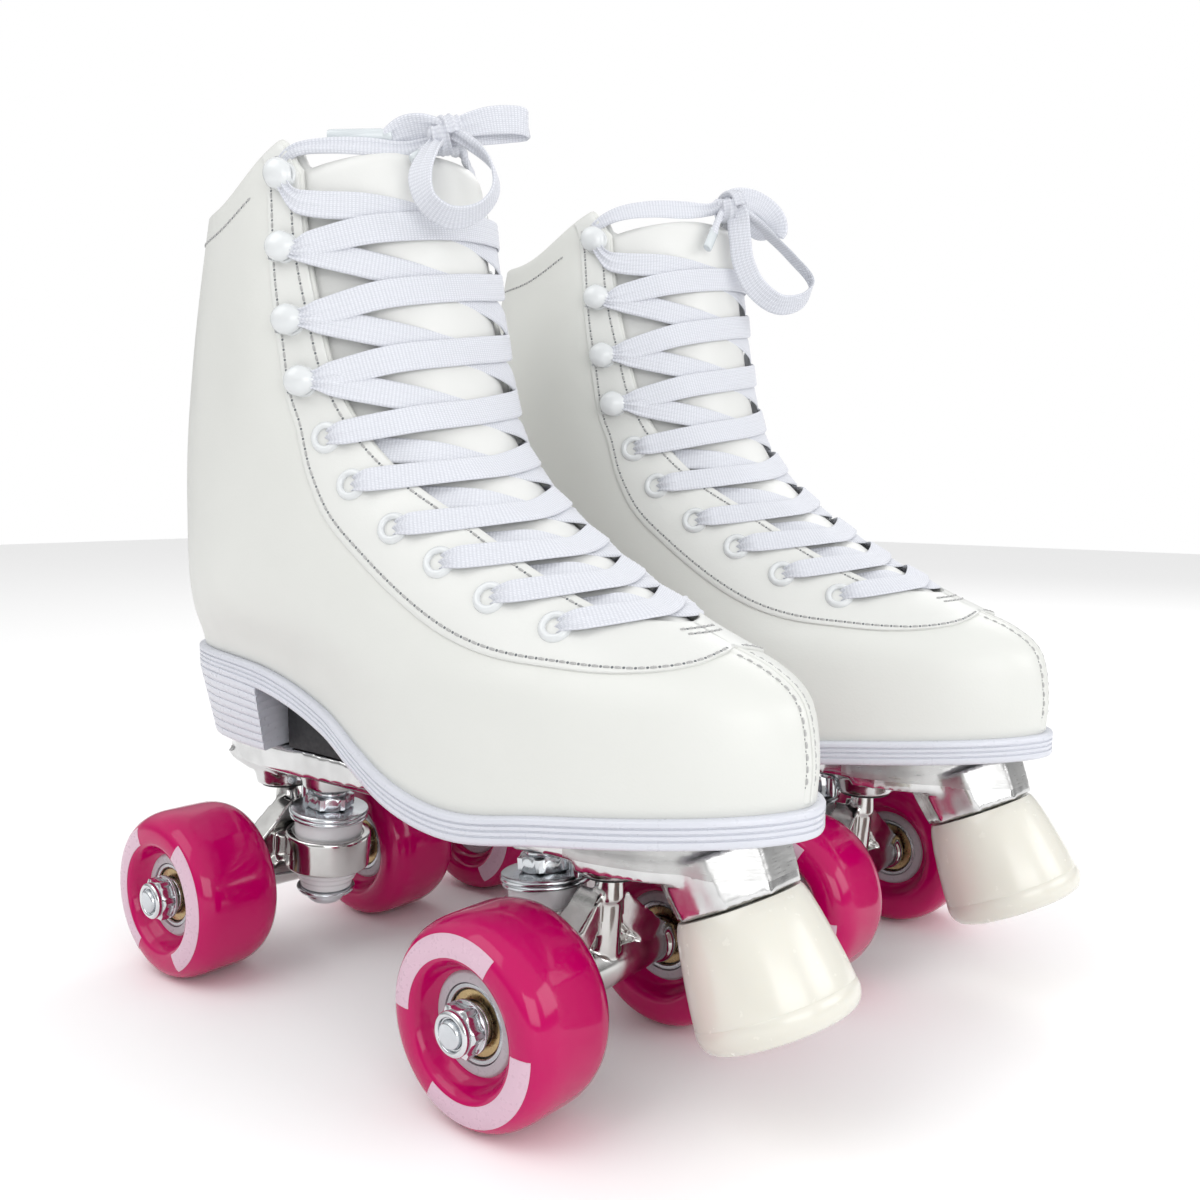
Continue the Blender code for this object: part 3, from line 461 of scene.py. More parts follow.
def woven(name, base, dark, along=0.0011, across=0.0006):
    """Flat weave in a UV map laid in metres: u along the lace, v across it."""
    made, nodes, links, shader = new_material(name, base, 0.75, Sheen_Weight=0.25, Sheen_Roughness=0.5)
    uv = nodes.new("ShaderNodeUVMap")
    uv.uv_map = "weave"
    parts = []
    for axis, pitch in ((0, along), (1, across)):
        mapping = nodes.new("ShaderNodeMapping")
        mapping.inputs["Rotation"].default_value = (0, 0, math.radians(0 if axis == 0 else 90))
        mapping.inputs["Scale"].default_value = (1, 1, 1)
        links.new(uv.outputs["UV"], mapping.inputs["Vector"])
        wave = nodes.new("ShaderNodeTexWave")
        wave.wave_type = 'BANDS'
        wave.bands_direction = 'X'
        wave.inputs["Scale"].default_value = 0.314 / pitch
        wave.inputs["Distortion"].default_value = 0.6
        wave.inputs["Detail"].default_value = 1.0
        wave.inputs["Detail Scale"].default_value = 2.0
        links.new(mapping.outputs["Vector"], wave.inputs["Vector"])
        parts.append(wave.outputs["Fac"])
    product = nodes.new("ShaderNodeMath")
    product.operation = 'MULTIPLY'
    links.new(parts[0], product.inputs[0])
    links.new(parts[1], product.inputs[1])
    links.new(ramp(nodes, links, product.outputs[0], [(0.05, dark), (0.6, base)]),
              shader.inputs["Base Color"])
    bump(nodes, links, shader, product.outputs[0], 0.35, 0.0003)
    return made


def cloth(name, base, dark, scale):
    made, nodes, links, shader = new_material(name, base, 0.85, Sheen_Weight=0.3, Sheen_Roughness=0.5)
    vector = coordinates(nodes, links, (1, 1, 1))
    checks = []
    for direction in ('X', 'Z'):
        wave = nodes.new("ShaderNodeTexWave")
        wave.bands_direction = direction
        wave.inputs["Scale"].default_value = scale
        wave.inputs["Distortion"].default_value = 0.8
        links.new(vector, wave.inputs["Vector"])
        checks.append(wave.outputs["Fac"])
    product = nodes.new("ShaderNodeMath")
    product.operation = 'MULTIPLY'
    links.new(checks[0], product.inputs[0])
    links.new(checks[1], product.inputs[1])
    links.new(ramp(nodes, links, product.outputs[0], [(0.05, dark), (0.6, base)]),
              shader.inputs["Base Color"])
    bump(nodes, links, shader, product.outputs[0], 0.4, 0.0003)
    return made


def rubber(name, base, dark, roughness, scale=120, strength=0.06, **extra):
    made, nodes, links, shader = new_material(name, base, roughness, **extra)
    vector = coordinates(nodes, links, (1, 1, 1))
    cloud = noise(nodes, links, vector, scale * 0.3, 3)
    links.new(ramp(nodes, links, cloud, [(0.3, dark), (0.7, base)]), shader.inputs["Base Color"])
    fine = noise(nodes, links, vector, scale * 6, 3)
    links.new(ramp(nodes, links, fine, [(0.3, (roughness * .8,) * 3), (0.75, (roughness * 1.3,) * 3)]),
              shader.inputs["Roughness"])
    bump(nodes, links, shader, fine, strength, 0.0003)
    return made


MAT = {
    "upper": leather("upper_leather", (0.665, 0.672, 0.645), (0.635, 0.642, 0.615), 0.40),
    "facing": leather("facing_leather", (0.675, 0.682, 0.662), (0.645, 0.652, 0.632), 0.40),
    "tongue": leather("tongue_leather", (0.69, 0.695, 0.68), (0.65, 0.655, 0.64), 0.43, 1200),
    "lining": cloth("lining_cloth", (0.66, 0.66, 0.65), (0.52, 0.52, 0.52), 420),
    "insole": cloth("insole_cloth", (0.62, 0.62, 0.61), (0.48, 0.48, 0.47), 380),
    "thread": cloth("stitch_thread", (0.50, 0.50, 0.49), (0.36, 0.36, 0.36), 900),
    # painted shade: near-black for the discs in the needle holes and in the eyelets' openings
    "painted_hole_shade": rubber("needle_hole_painted_shade", (0.16, 0.17, 0.18), (0.12, 0.13, 0.14), 0.8),
    "sole": rubber("sole_rubber", (0.62, 0.635, 0.69), (0.58, 0.595, 0.65), 0.32, 90, 0.04,
                   Subsurface_Weight=0.08, Subsurface_Radius=(0.004, 0.004, 0.004)),
    "pad": rubber("black_pad", (0.012, 0.013, 0.016), (0.006, 0.007, 0.008), 0.5),
    "tab": cloth("tab_webbing", (0.008, 0.016, 0.020), (0.003, 0.006, 0.008), 500),
    "plate": metal("cast_aluminium", (0.70, 0.70, 0.70), 0.15, (1, 1, 1), 0.12, 260),
    "brushed": metal("brushed_aluminium", (0.56, 0.56, 0.555), 0.30, (1, 1, 14), 0.30, 160),
    "truck": metal("polished_aluminium", (0.68, 0.675, 0.66), 0.13, (1, 1, 1), 0.10, 300),
    "zinc": metal("zinc_plate", (0.70, 0.73, 0.76), 0.17, (1, 1, 1), 0.08, 800),
    "nut": metal("nut_zinc", (0.74, 0.76, 0.78), 0.15, (1, 1, 1), 0.08, 900),
    "brass": metal("bearing_shield", (0.50, 0.37, 0.19), 0.25, (1, 1, 1), 0.05, 700),
    "race": metal("bearing_race", (0.50, 0.51, 0.53), 0.2, (1, 1, 1), 0.05, 700),
    "seal": rubber("bearing_seal", (0.02, 0.018, 0.016), (0.01, 0.01, 0.01), 0.4),
    "cushion": rubber("cushion_urethane", (0.72, 0.72, 0.73), (0.64, 0.64, 0.66), 0.22, 100, 0.03,
                      Subsurface_Weight=0.2, Subsurface_Radius=(0.003, 0.003, 0.003)),
    "stop": rubber("stop_rubber", (0.68, 0.665, 0.60), (0.66, 0.645, 0.58), 0.22, 60, 0.004,
                   Subsurface_Weight=0.25, Subsurface_Radius=(0.006, 0.005, 0.004),
                   Coat_Weight=0.2, Coat_Roughness=0.15),
    "wheel": rubber("wheel_urethane", (0.47, 0.0002, 0.100), (0.43, 0.0002, 0.089), 0.11, 60, 0.02,
                    Specular_IOR_Level=0.28, Coat_Weight=0.08, Coat_Roughness=0.04),
    "print": rubber("wheel_print", (0.62, 0.43, 0.52), (0.60, 0.41, 0.50), 0.3),
    "core": rubber("wheel_core", (0.46, 0.42, 0.45), (0.40, 0.37, 0.40), 0.3),
    "lace": woven("lace_weave", (0.70, 0.715, 0.765), (0.56, 0.575, 0.625)),
    "aglet": rubber("aglet_film", (0.62, 0.66, 0.68), (0.54, 0.58, 0.60), 0.2, 200, 0.08,
                    Coat_Weight=0.4, Coat_Roughness=0.1),
    "hook": rubber("hook_enamel", (0.66, 0.68, 0.69), (0.62, 0.64, 0.65), 0.2, 200, 0.03,
                   Coat_Weight=0.5, Coat_Roughness=0.1),
}


# ---------------------------------------------------------------- putting pieces in place
def piece(name, mesh, body, place=None, replaces=()):
    obj = bpy.data.objects.new(name, mesh)
    bpy.context.scene.collection.objects.link(obj)
    obj.matrix_world = place or Matrix.Identity(4)
    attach(obj, body)
    if replaces:
        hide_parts(*replaces)
    return obj


def for_both(label, mesh, replaces=()):
    """The same piece on both skates' bodies; names and CAD nodes take the skate's name in front."""
    made = {}
    for name, origin in ORIGIN.items():
        made[name] = piece(f"{name}_{label}_look", mesh, f"{name}_skate",
                           Matrix.Translation(origin), [f"{name}_{node}" for node in replaces])
    return made


# ---------------------------------------------------------------- upper
def throat_start(level):
    """Half angle of the throat's opening, rounded off at its lower end."""
    rise = np.clip((level - THROAT_LEVEL) / 0.035, 0, 1)
    return curve(THROAT, level) * np.sqrt(1 - (1 - rise) ** 2)


def make_upper():
    levels = np.r_[np.linspace(0, THROAT_LEVEL, 22),
                   THROAT_LEVEL + 0.035 * np.array([.02, .08, .2, .4, .7, 1]),
                   np.linspace(.30, 1, 44)]
    share = np.linspace(0, 1, 72)
    start = np.where(levels > THROAT_LEVEL, throat_start(levels), 0)[:, None]
    angles = start + (math.pi - start) * share[None, :]
    shape = Shape()
    grid_level = np.broadcast_to(levels[:, None], angles.shape)
    for side in (1, -1):
        outer = boot(grid_level, side * angles)
        inner = boot(grid_level, side * angles, -UPPER_THICKNESS)
        if side < 0:
            outer, inner = outer[:, ::-1], inner[:, ::-1]
        shape.sheet(outer, inner, 0.0009)
    return shape.mesh("upper", [MAT["upper"]], 60)


def facing_edge(count):
    """Facing strip: rows from the collar to the toe seam, from throat edge to outer edge."""
    line = np.array(FACING)
    reach = np.r_[0, np.cumsum(np.linalg.norm(np.diff(on_boot(line[:, 0], line[:, 1]), axis=0), axis=1))]
    even = np.linspace(0, reach[-1], count)
    outer = np.stack([curve(list(zip(reach, column)), even) for column in line.T], -1)
    t = even / reach[-1]
    inner_level = np.interp(t, [0, .17, .34, .50, .62, .74, .82, .88, 1.0],
                            [.995, .82, .66, .52, .42, .32, .27, .245, .200])
    inner_angle = np.where(inner_level > THROAT_LEVEL, throat_start(inner_level) + 0.006, 0.0)
    return outer, np.stack([inner_level, inner_angle], -1)


def make_facings():
    outer, inner = facing_edge(110)
    share = np.linspace(0, 1, 26)[None, :]
    level = inner[:, :1] + (outer[:, :1] - inner[:, :1]) * share
    angle = inner[:, 1:] + (outer[:, 1:] - inner[:, 1:]) * share
    level = np.minimum(level, 0.996)
    shape = Shape()
    for side in (1, -1):
        shape.sheet(boot(level, side * angle, FACING_THICKNESS), boot(level, side * angle, -0.0002), 0.0002)
    return shape.mesh("facings", [MAT["facing"]], 60)


def stitch_run(shape, level, angle, lift, pitch=0.0031, length=0.0021, thickness=0.00032, first=0.0):
    """Dashes of thread along a line on the boot, each sunk at its ends, with small dark discs between them as
    painted shade in the needle holes.
    """
    line = boot(level, angle, lift)
    normal = boot_normal(level, angle)
    run = np.r_[0, np.cumsum(np.linalg.norm(np.diff(line, axis=0), axis=1))]
    starts = np.arange(pitch * 0.5 + first, run[-1] - length, pitch)
    turn = np.linspace(0, 2 * math.pi, 6, endpoint=False)
    for start in starts:
        stations = start + length * np.array([0, .12, .5, .88, 1])
        sizes = np.array([.35, .85, 1, .85, .35])
        drop = np.array([-.9, .1, .5, .1, -.9]) * thickness
        middle = np.stack([np.interp(stations, run, c) for c in line.T], -1)
        up = unit(np.stack([np.interp(stations, run, c) for c in normal.T], -1))
        ahead = unit(np.gradient(middle, axis=0))
        across = np.cross(up, ahead)
        rings = (middle + up * drop[:, None])[:, None, :] + thickness * sizes[:, None, None] * (
            np.cos(turn)[None, :, None] * across[:, None, :] * 1.25
            + np.sin(turn)[None, :, None] * up[:, None, :])
        shape.tube(rings, 0)
    holes = starts + length + (pitch - length) / 2
    # each needle hole is a small dark disc just above the leather: painted shade in the hole
    for place in holes[holes < run[-1]]:
        centre = np.array([np.interp(place, run, c) for c in line.T])
        up = unit(np.array([np.interp(place, run, c) for c in normal.T]))
        side = unit(np.cross(up, [0.3, 0.9, 0.1]))
        other = np.cross(up, side)
        painted_shade_disc = centre + 0.00006 * up + 0.00042 * (np.cos(turn)[:, None] * side + np.sin(turn)[:, None]
                                                  * other)
        low = painted_shade_disc - 0.0004 * up
        shape.tube([low, painted_shade_disc], 1)


def make_stitches():
    shape = Shape()
    outer, inner = facing_edge(160)
    top = FACING_THICKNESS
    for side in (1, -1):
        # along the facing's outer edge, a little inside it
        share = 0.0019 / np.maximum(np.linalg.norm(on_boot(*outer.T) - on_boot(*inner.T), axis=1), 0.004)
        line = outer + (inner - outer) * share[:, None]
        line = line[2:-3]
        stitch_run(shape, line[:, 0], side * line[:, 1], top)
        # along the throat's edge
        level = np.linspace(.985, .262, 140)
        angle = throat_start(level) + 0.0031 / np.maximum(curve(FRONT_HALF_WIDTH, level), .02)
        stitch_run(shape, level, side * angle, top)
        # round the collar
        angle = np.linspace(1.46, math.pi - 0.10, 90)
        stitch_run(shape, np.full(90, .955), side * angle, 0.0)
        # beside the toe's centre seam
        level = np.linspace(.190, .015, 60)
        ridge = on_boot(level, np.zeros_like(level))[:, 0]
        angle = 0.0021 / np.maximum(0.6 * (ridge - .07), .012)
        stitch_run(shape, level, side * angle, 0.0)
        # beside the heel seam
        level = np.linspace(.03, .94, 80)
        stitch_run(shape, level, np.full_like(level, side * (math.pi - 0.055)), 0.0006)
    # bar tack below the throat
    for level in (.236, .226):
        span = np.linspace(-.20, .20, 20)
        stitch_run(shape, np.full(20, level), span, top, 0.0026, 0.0022)
    for end in (-.20, .20):
        level = np.linspace(.236, .226, 8)
        stitch_run(shape, level, np.full(8, end), top, 0.0026, 0.0022)
    return shape.mesh("stitches", [MAT["thread"], MAT["painted_hole_shade"]], 60)


def make_seams():
    """Raised seam lips: the toe's centre seam and the back stay over the heel seam."""
    shape = Shape()
    level = np.linspace(.196, .004, 50)
    ridge = on_boot(level, np.zeros_like(level))[:, 0]
    reach = 0.0011 / np.maximum(0.6 * (ridge - .07), .012)
    for side in (1, -1):
        rows = [boot(level, side * reach * s, out)
                for s, out in ((0.12, .0001), (.35, .0004), (1, .0005), (2.2, 0.0))]
        low = [boot(level, side * reach * s, -.0008) for s in (0.12, .35, 1, 2.2)]
        shape.sheet(np.array(rows), np.array(low), 0.0)
    level = np.linspace(.01, .955, 60)
    span = np.linspace(-1, 1, 9)
    width = np.full_like(level, 0.085)
    angle = math.pi + span[:, None] * width[None, :]
    grid_level = np.broadcast_to(level[None, :], angle.shape)
    shape.sheet(boot(grid_level, angle, .0007), boot(grid_level, angle, -.0003), 0.0003)
    return shape.mesh("seams", [MAT["upper"]], 60)


def make_lining():
    """A padded lining band inside the collar, thickest in its middle."""
    level = np.linspace(.74, .988, 22)
    share = np.linspace(0, 1, 70)
    shape = Shape()
    for side in (1, -1):
        start = (curve(THROAT, level) + 0.03)[:, None]
        angle = start + (math.pi - start) * share[None, :]
        grid_level = np.broadcast_to(level[:, None], angle.shape)
        puff = (np.sin(math.pi * np.linspace(0.04, 1, 22)) ** 0.6)[:, None]
        puff = puff * np.minimum(1, share * 9)[None, :] ** 0.5
        outer = boot(grid_level, side * angle, -UPPER_THICKNESS + 0.0001)
        inner = boot(grid_level, side * angle, -UPPER_THICKNESS - 0.0010 - 0.0030 * puff)
        shape.sheet(outer, inner, 0.0004)
    return shape.mesh("collar_pad", [MAT["lining"]], 60)


def make_tongue():
    """The padded tongue: thin at its stitched rim, crowned between the facings."""
    level = np.r_[np.linspace(.225, .96, 46), np.linspace(.97, 1.0, 6)]
    share = np.linspace(-1, 1, 49)
    reach = (curve(THROAT, level) + 0.22) * np.where(level > .96, 1 - ((level - .96) / .04) ** 3 * .12, 1)
    angle = reach[:, None] * share[None, :]
    grid_level = np.broadcast_to(level[:, None], angle.shape)
    rim = np.minimum(1, (1 - np.abs(share)) / 0.16)[None, :] ** 0.5
    top = np.minimum(1, (1.0 - level) / 0.012)[:, None] ** 0.5
    opened = curve(THROAT, level)[:, None] * 0.85
    middle = ease(1.15 - np.abs(angle) / opened)
    groove = 1 - 0.5 * np.exp(-((np.abs(share) - 0.90) / 0.016) ** 2)[None, :]
    crown = 0.0012 * rim * top * groove + 0.0021 * middle * np.minimum(1, (level - .225) / .06)[:, None]
    outer = boot(grid_level, angle, -.0042 + crown)
    inner = boot(grid_level, angle, -.0060 - .0010 * rim * top)
    for surface in (outer, inner):
        surface[..., 2] += 0.0028 * ease((level - .88) / .12)[:, None]
    return Shape().sheet(outer, inner, 0.0008).mesh("tongue", [MAT["tongue"]], 60)


def make_insole():
    x = np.concatenate([[-.1070], np.linspace(-.1066, .1395, 60), [.1398]])
    half = sole_half_width(x, UPPER_THICKNESS + 0.0024)
    share = np.linspace(-1, 1, 25)
    y = half[:, None] * share[None, :]
    lift = 0.0030 * np.minimum(1, (1 - np.abs(share)) / 0.12)[None, :] ** 0.5
    floor = curve(FEATHER, x)[:, None] + 0 * y
    grid_x = np.broadcast_to(x[:, None], y.shape)
    outer = np.stack([grid_x, y, floor + 0.0006 + lift], -1)
    inner = np.stack([grid_x, y, floor + 0.0002], -1)
    return Shape().sheet(outer, inner, 0.0).mesh("insole", [MAT["insole"]], 60)


def make_heel_tab():
    """A folded black label sewn into the heel seam and standing out from it."""
    z_low, z_high, out = .2045, .2385, .0052
    level = np.array([np.interp(z, [b for _, b in BACK_Z], [a for a, _ in BACK_Z])
                      for z in np.linspace(z_low, z_high, 16)])
    rows_out, rows_in = [], []
    for reach in np.linspace(-.0015, out, 8):
        line = boot(level, math.pi, reach)
        drop = np.array([0, 0, -0.0006 * (reach / out)])
        rows_out.append(line + drop + [0, .0009, 0])
        rows_in.append(line + drop + [0, -.0009, 0])
    return Shape().sheet(np.array(rows_out), np.array(rows_in), 0.0005).mesh("heel_tab", [MAT["tab"]], 60)


# ---------------------------------------------------------------- sole
def outline(inset, count=96, low=None, high=None):
    """The closed outline of the sole as (x, y) rows, starting at the heel on the -Y side."""
    back = BACK_X[0][1] + inset if low is None else low
    front = RIDGE_X[0][1] - inset if high is None else high
    turn = np.linspace(0, math.pi, count)
    x = (back + front) / 2 - (front - back) / 2 * np.cos(turn)
    half = sole_half_width(x, inset)
    lower = np.stack([x, -half], -1)
    upper = np.stack([x[::-1], half[::-1]], -1)
    return np.concatenate([lower, upper[1:-1]])


def outline_normal(points):
    ahead = unit(np.roll(points, -1, 0) - np.roll(points, 1, 0))
    return np.stack([ahead[:, 1], -ahead[:, 0]], -1)


def fan(shape, ring, kind=0):
    """Closes a ring with quads between its two sides (ring starts at one end of a symmetric outline)."""
    count = len(ring)
    faces = [(0, 1, count - 1)]
    k = 1
    while k + 1 < count - k - 1:
        faces.append((k, k + 1, count - k - 1, count - k))
        k += 1
    if k + 1 == count - k - 1:
        faces.append((k, k + 1, count - k))
    shape.add(ring, faces, kind)


def wall(shape, base, top, bottom, profile, kind=0):
    """A closed slab: base outline (x, y), heights by point, and (share down, stand-out) rows."""
    normal = outline_normal(base)
    rings = []
    for share, stand in profile:
        xy = base + normal * stand
        rings.append(np.column_stack([xy, top + (bottom - top) * share]))
    shape.grid(np.array(rings), wrap=True, kind=kind)
    fan(shape, rings[0], kind)
    fan(shape, rings[-1], kind)


def make_sole():
    shape = Shape()
    base = outline(-WELT, 120)
    top = curve(FEATHER, base[:, 0]) - LASTING_GAP + 0.0008
    bottom = curve(FEATHER, base[:, 0]) - LASTING_GAP - SOLE_THICKNESS
    ridge = [(0, -.0030), (.0, -.0012), (.03, -.0003), (.10, .0), (.22, .0), (.25, -.0006), (.29, -.0006),
             (.32, -.0001), (.42, -.0001), (.45, -.0006), (.49, -.0006), (.52, -.0001), (.62, -.0001),
             (.65, -.0006), (.69, -.0006), (.72, -.0001), (.86, -.0001), (.95, -.0004), (1, -.0012),
             (1, -.0030)]
    wall(shape, base, top, bottom, ridge)
    # the heel block: a stack of lifts, each a little smaller, with a hollowed front
    turn = np.linspace(0, 1, 46)
    back = BACK_X[0][1] - WELT
    x = back + (HEEL_FRONT - back) * (1 - np.cos(turn * math.pi / 2))
    half = sole_half_width(x, -WELT)
    side = np.stack([x, -half], -1)
    breast_half = half[-1]
    across = np.linspace(-1, 1, 17)[1:-1]
    breast = np.stack([HEEL_FRONT - 0.0075 * (1 - across ** 2) ** 0.8, across * breast_half], -1)
    base = np.concatenate([side, breast, side[::-1][:-1] * [1, -1]])
    start = curve(FEATHER, base[:, 0]) - LASTING_GAP - SOLE_THICKNESS + 0.0002
    middle = (back + HEEL_FRONT) / 2
    rings = []
    lifts = 8
    for k in range(lifts):
        for share, stand in ((0.0, -.0005), (.10, -.0001), (.5, 0.0), (.90, -.0001), (1.0, -.0005)):
            down = (k + share) / lifts
            narrow = HEEL_TAPER / 2 * down
            xy = base.copy()
            width = np.maximum(np.abs(xy[:, 1]), 1e-6)
            xy[:, 1] *= np.maximum(width - narrow + stand, 0) / width
            shift = np.clip((middle - xy[:, 0]) / (middle - back), 0, 1)
            xy[:, 0] += (HEEL_TAPER * down - stand) * shift
            rings.append(np.column_stack([xy, start + (HEEL_TOP_LINE - start) * down]))
    shape.grid(np.array(rings), wrap=True)
    for ring in (rings[0], rings[-1]):
        centre = ring.mean(0)
        count = len(ring)
        shape.add(np.vstack([ring, centre]), [(i, (i + 1) % count, count) for i in range(count)])
    return shape.mesh("sole", [MAT["sole"]], 50)


def make_pad():
    """The black pad between the plate and the sole's arch."""
    x = np.linspace(-.0475, .034, 40)
    half = 0.0225 - 0.006 * np.exp(-(x / .04) ** 2)
    top = curve(FEATHER, x) - LASTING_GAP - SOLE_THICKNESS + .0003
    lowest = min(z for _, z in FEATHER) - LASTING_GAP - SOLE_THICKNESS
    low = HEEL_TOP_LINE + (lowest - HEEL_TOP_LINE) * ease((x - HEEL_FRONT) / 0.09)
    share = np.linspace(-1, 1, 7)
    y = half[:, None] * share[None, :]
    grid_x = np.broadcast_to(x[:, None], y.shape)
    outer = np.stack([grid_x, y, np.broadcast_to(top[:, None], y.shape)], -1)
    inner = np.stack([grid_x, y, np.broadcast_to(np.minimum(low, top - .0004)[:, None], y.shape)], -1)
    return Shape().sheet(outer, inner, 0.0003).mesh("arch_pad", [MAT["pad"]], 60)


# ---------------------------------------------------------------- eyelets, hooks
def surface_frame(level, angle, out, ahead):
    """Matrix on the boot: X towards ahead (a direction), Z out of the surface."""
    centre = boot(level, angle, out)
    up = boot_normal(level, angle)
    x = np.asarray(ahead, float) - up * np.dot(ahead, up)
    x = unit(x)
    y = np.cross(up, x)
    m = Matrix(((x[0], y[0], up[0], centre[0]), (x[1], y[1], up[1], centre[1]),
                (x[2], y[2], up[2], centre[2]), (0, 0, 0, 1)))
    return m


def towards_throat(level, angle):
    step = on_boot(level, angle * 0.9) - on_boot(level, angle)
    return unit(step)


def make_eyelets():
    ring = rounded_profile([(.0026, -.0016), (.0026, .0009), (.0034, .0014), (.0043, .0011), (.0049, .0002),
                            (.0049, -.0004), (.0034, -.0016)], .0005)
    shape = Shape()
    # under each eyelet ring a dark closed disc fills the opening: painted shade in the eyelet
    painted_shade_plug = lathe([(.0023, -.0012), (.0023, -.0026), (.0001, -.0026), (.0001, -.0012)], 20, 1)
    for level, angle in EYELETS:
        for side in (1, -1):
            place = surface_frame(level, side * angle, FACING_THICKNESS, towards_throat(level, side * angle))
            shape.join(lathe(ring, 28).moved(place))
            shape.join(painted_shade_plug.moved(place))
    return shape.mesh("eyelets", [MAT["hook"], MAT["painted_hole_shade"]], 60)


def make_hooks():
    """Speed hooks: a riveted base, a neck, and a domed head that holds the lace."""
    one = Shape()
    # head: a domed teardrop over the lace; its open side faces the throat (+X)
    turn = np.linspace(0, 2 * math.pi, 28, endpoint=False)
    rows = []
    for share in (0.02, .2, .4, .6, .78, .92, 1.0, 1.0, .92, .6, .3, .02):
        index = len(rows)
        height = [3.9, 3.85, 3.7, 3.4, 2.9, 2.25, 1.5, 1.1, .8, 1.5, 1.8, 1.9][index] * MM
        x = share * 5.0 * MM * np.cos(turn)
        y = share * (4.7 - 0.9 * np.clip(np.cos(turn), 0, 1)) * MM * np.sin(turn)
        rows.append(np.stack([x - .0012, y, np.full(28, height + .0012) - .00022 / .005 * x * 4], -1))
    one.tube(rows)
    # neck on the side away from the throat, curling down to the base
    path = [(-.0050, 0, .0030), (-.0058, 0, .0018), (-.0052, 0, .0007), (-.0035, 0, .0004)]
    rings = []
    for (x, y, z), width in zip(smooth_line(path, 10), np.linspace(.0034, .0040, 10)):
        rings.append([(x, -width, z), (x + .0003, -width, z + .0006), (x + .0003, width, z + .0006),
                      (x, width, z)])
    one.tube(rings)
    base = rounded_profile([(.0001, .0007), (.0042, .0007), (.0046, .0002), (.0046, -.0004), (.0001, -.0004)],
                           .0003)
    one.join(lathe(base, 24, closed=False).moved(Matrix.Translation((-.0010, 0, 0))))
    rivet = rounded_profile([(.0001, .0016), (.0012, .0015), (.0019, .0009), (.0020, .0002), (.0001, .0002)],
                            .0003)
    one.join(lathe(rivet, 18, closed=False).moved(Matrix.Translation((.0016, 0, 0))))
    shape = Shape()
    for level, angle in HOOKS:
        for side in (1, -1):
            place = surface_frame(level, side * (angle + .03), FACING_THICKNESS,
                                  towards_throat(level, side * angle))
            shape.join(one.moved(place))
    return shape.mesh("hooks", [MAT["hook"]], 50)


# ---------------------------------------------------------------- laces
LACE_WIDTH = 0.0086
LACE_THICKNESS = 0.0011
RIBS = 5


def ribbon(shape, rows, count=None, kind=0):
    """A woven flat lace: rows of (x, y, z, side direction x, y, z, width, thickness)."""
    rows = np.asarray(rows, float)
    count = count or max(12, int(line_length(rows) / 0.0014))
    line = smooth_line(rows, count)
    middle, side = line[:, :3], line[:, 3:6]
    ahead = unit(np.gradient(middle, axis=0))
    side = unit(side - ahead * (side * ahead).sum(1, keepdims=True))
    up = np.cross(ahead, side)
    v = np.linspace(-1, 1, 4 * RIBS + 1)
    rib = 0.5 - 0.5 * np.cos((v + 1) * math.pi * RIBS)
    roof = np.sqrt(np.maximum(1 - v ** 8, 0.0))
    half_width, half_thick = line[:, 6:7] / 2, line[:, 7:8] / 2
    height = (half_thick * roof[None, :]) * (0.78 + 0.22 * rib[None, :])
    # a bunched lace folds up across its width
    pinch = np.clip(1 - line[:, 6:7] / LACE_WIDTH, 0, 1)
    fold = pinch * 0.0011 * np.cos(v * math.pi * 2.0)[None, :]
    across = middle[:, None, :] + side[:, None, :] * (half_width * v[None, :])[..., None]
    top = across + up[:, None, :] * (height + fold)[..., None]
    low = across - up[:, None, :] * (height - fold)[..., None]
    rings = np.concatenate([top, low[:, ::-1]], axis=1)
    shape.tube(rings, kind)
    return middle


def lace_mesh(name, runs):
    """One mesh from several ribbons, with a weave UV map: u along, v across, in metres."""
    shape = Shape()
    middles, coords = [], []
    ring = 2 * (4 * RIBS + 1)
    for rows in runs:
        middle = ribbon(shape, rows)
        middles.append(middle)
        run = np.r_[0, np.cumsum(np.linalg.norm(np.diff(middle, axis=0), axis=1))]
        v = np.linspace(-1, 1, ring // 2) * LACE_WIDTH / 2
        both = np.concatenate([v, v[::-1]])
        coords.append(np.stack(np.broadcast_arrays(run[:, None], both[None, :]), -1).reshape(-1, 2))
    coords = np.concatenate(coords)
    made = bpy.data.meshes.new(name)
    made.from_pydata(np.concatenate(shape.points).tolist(), [], shape.faces)
    made.materials.append(MAT["lace"])
    layer = made.uv_layers.new(name="weave")
    index = np.zeros(len(made.loops), np.int32)
    made.loops.foreach_get("vertex_index", index)
    layer.data.foreach_set("uv", coords[index].astype(np.float32).ravel())
    work = bmesh.new()
    work.from_mesh(made)
    bmesh.ops.recalc_face_normals(work, faces=work.faces)
    work.to_mesh(made)
    work.free()
    made.shade_smooth()
    made.set_sharp_from_angle(angle=math.radians(70))
    return made, middles


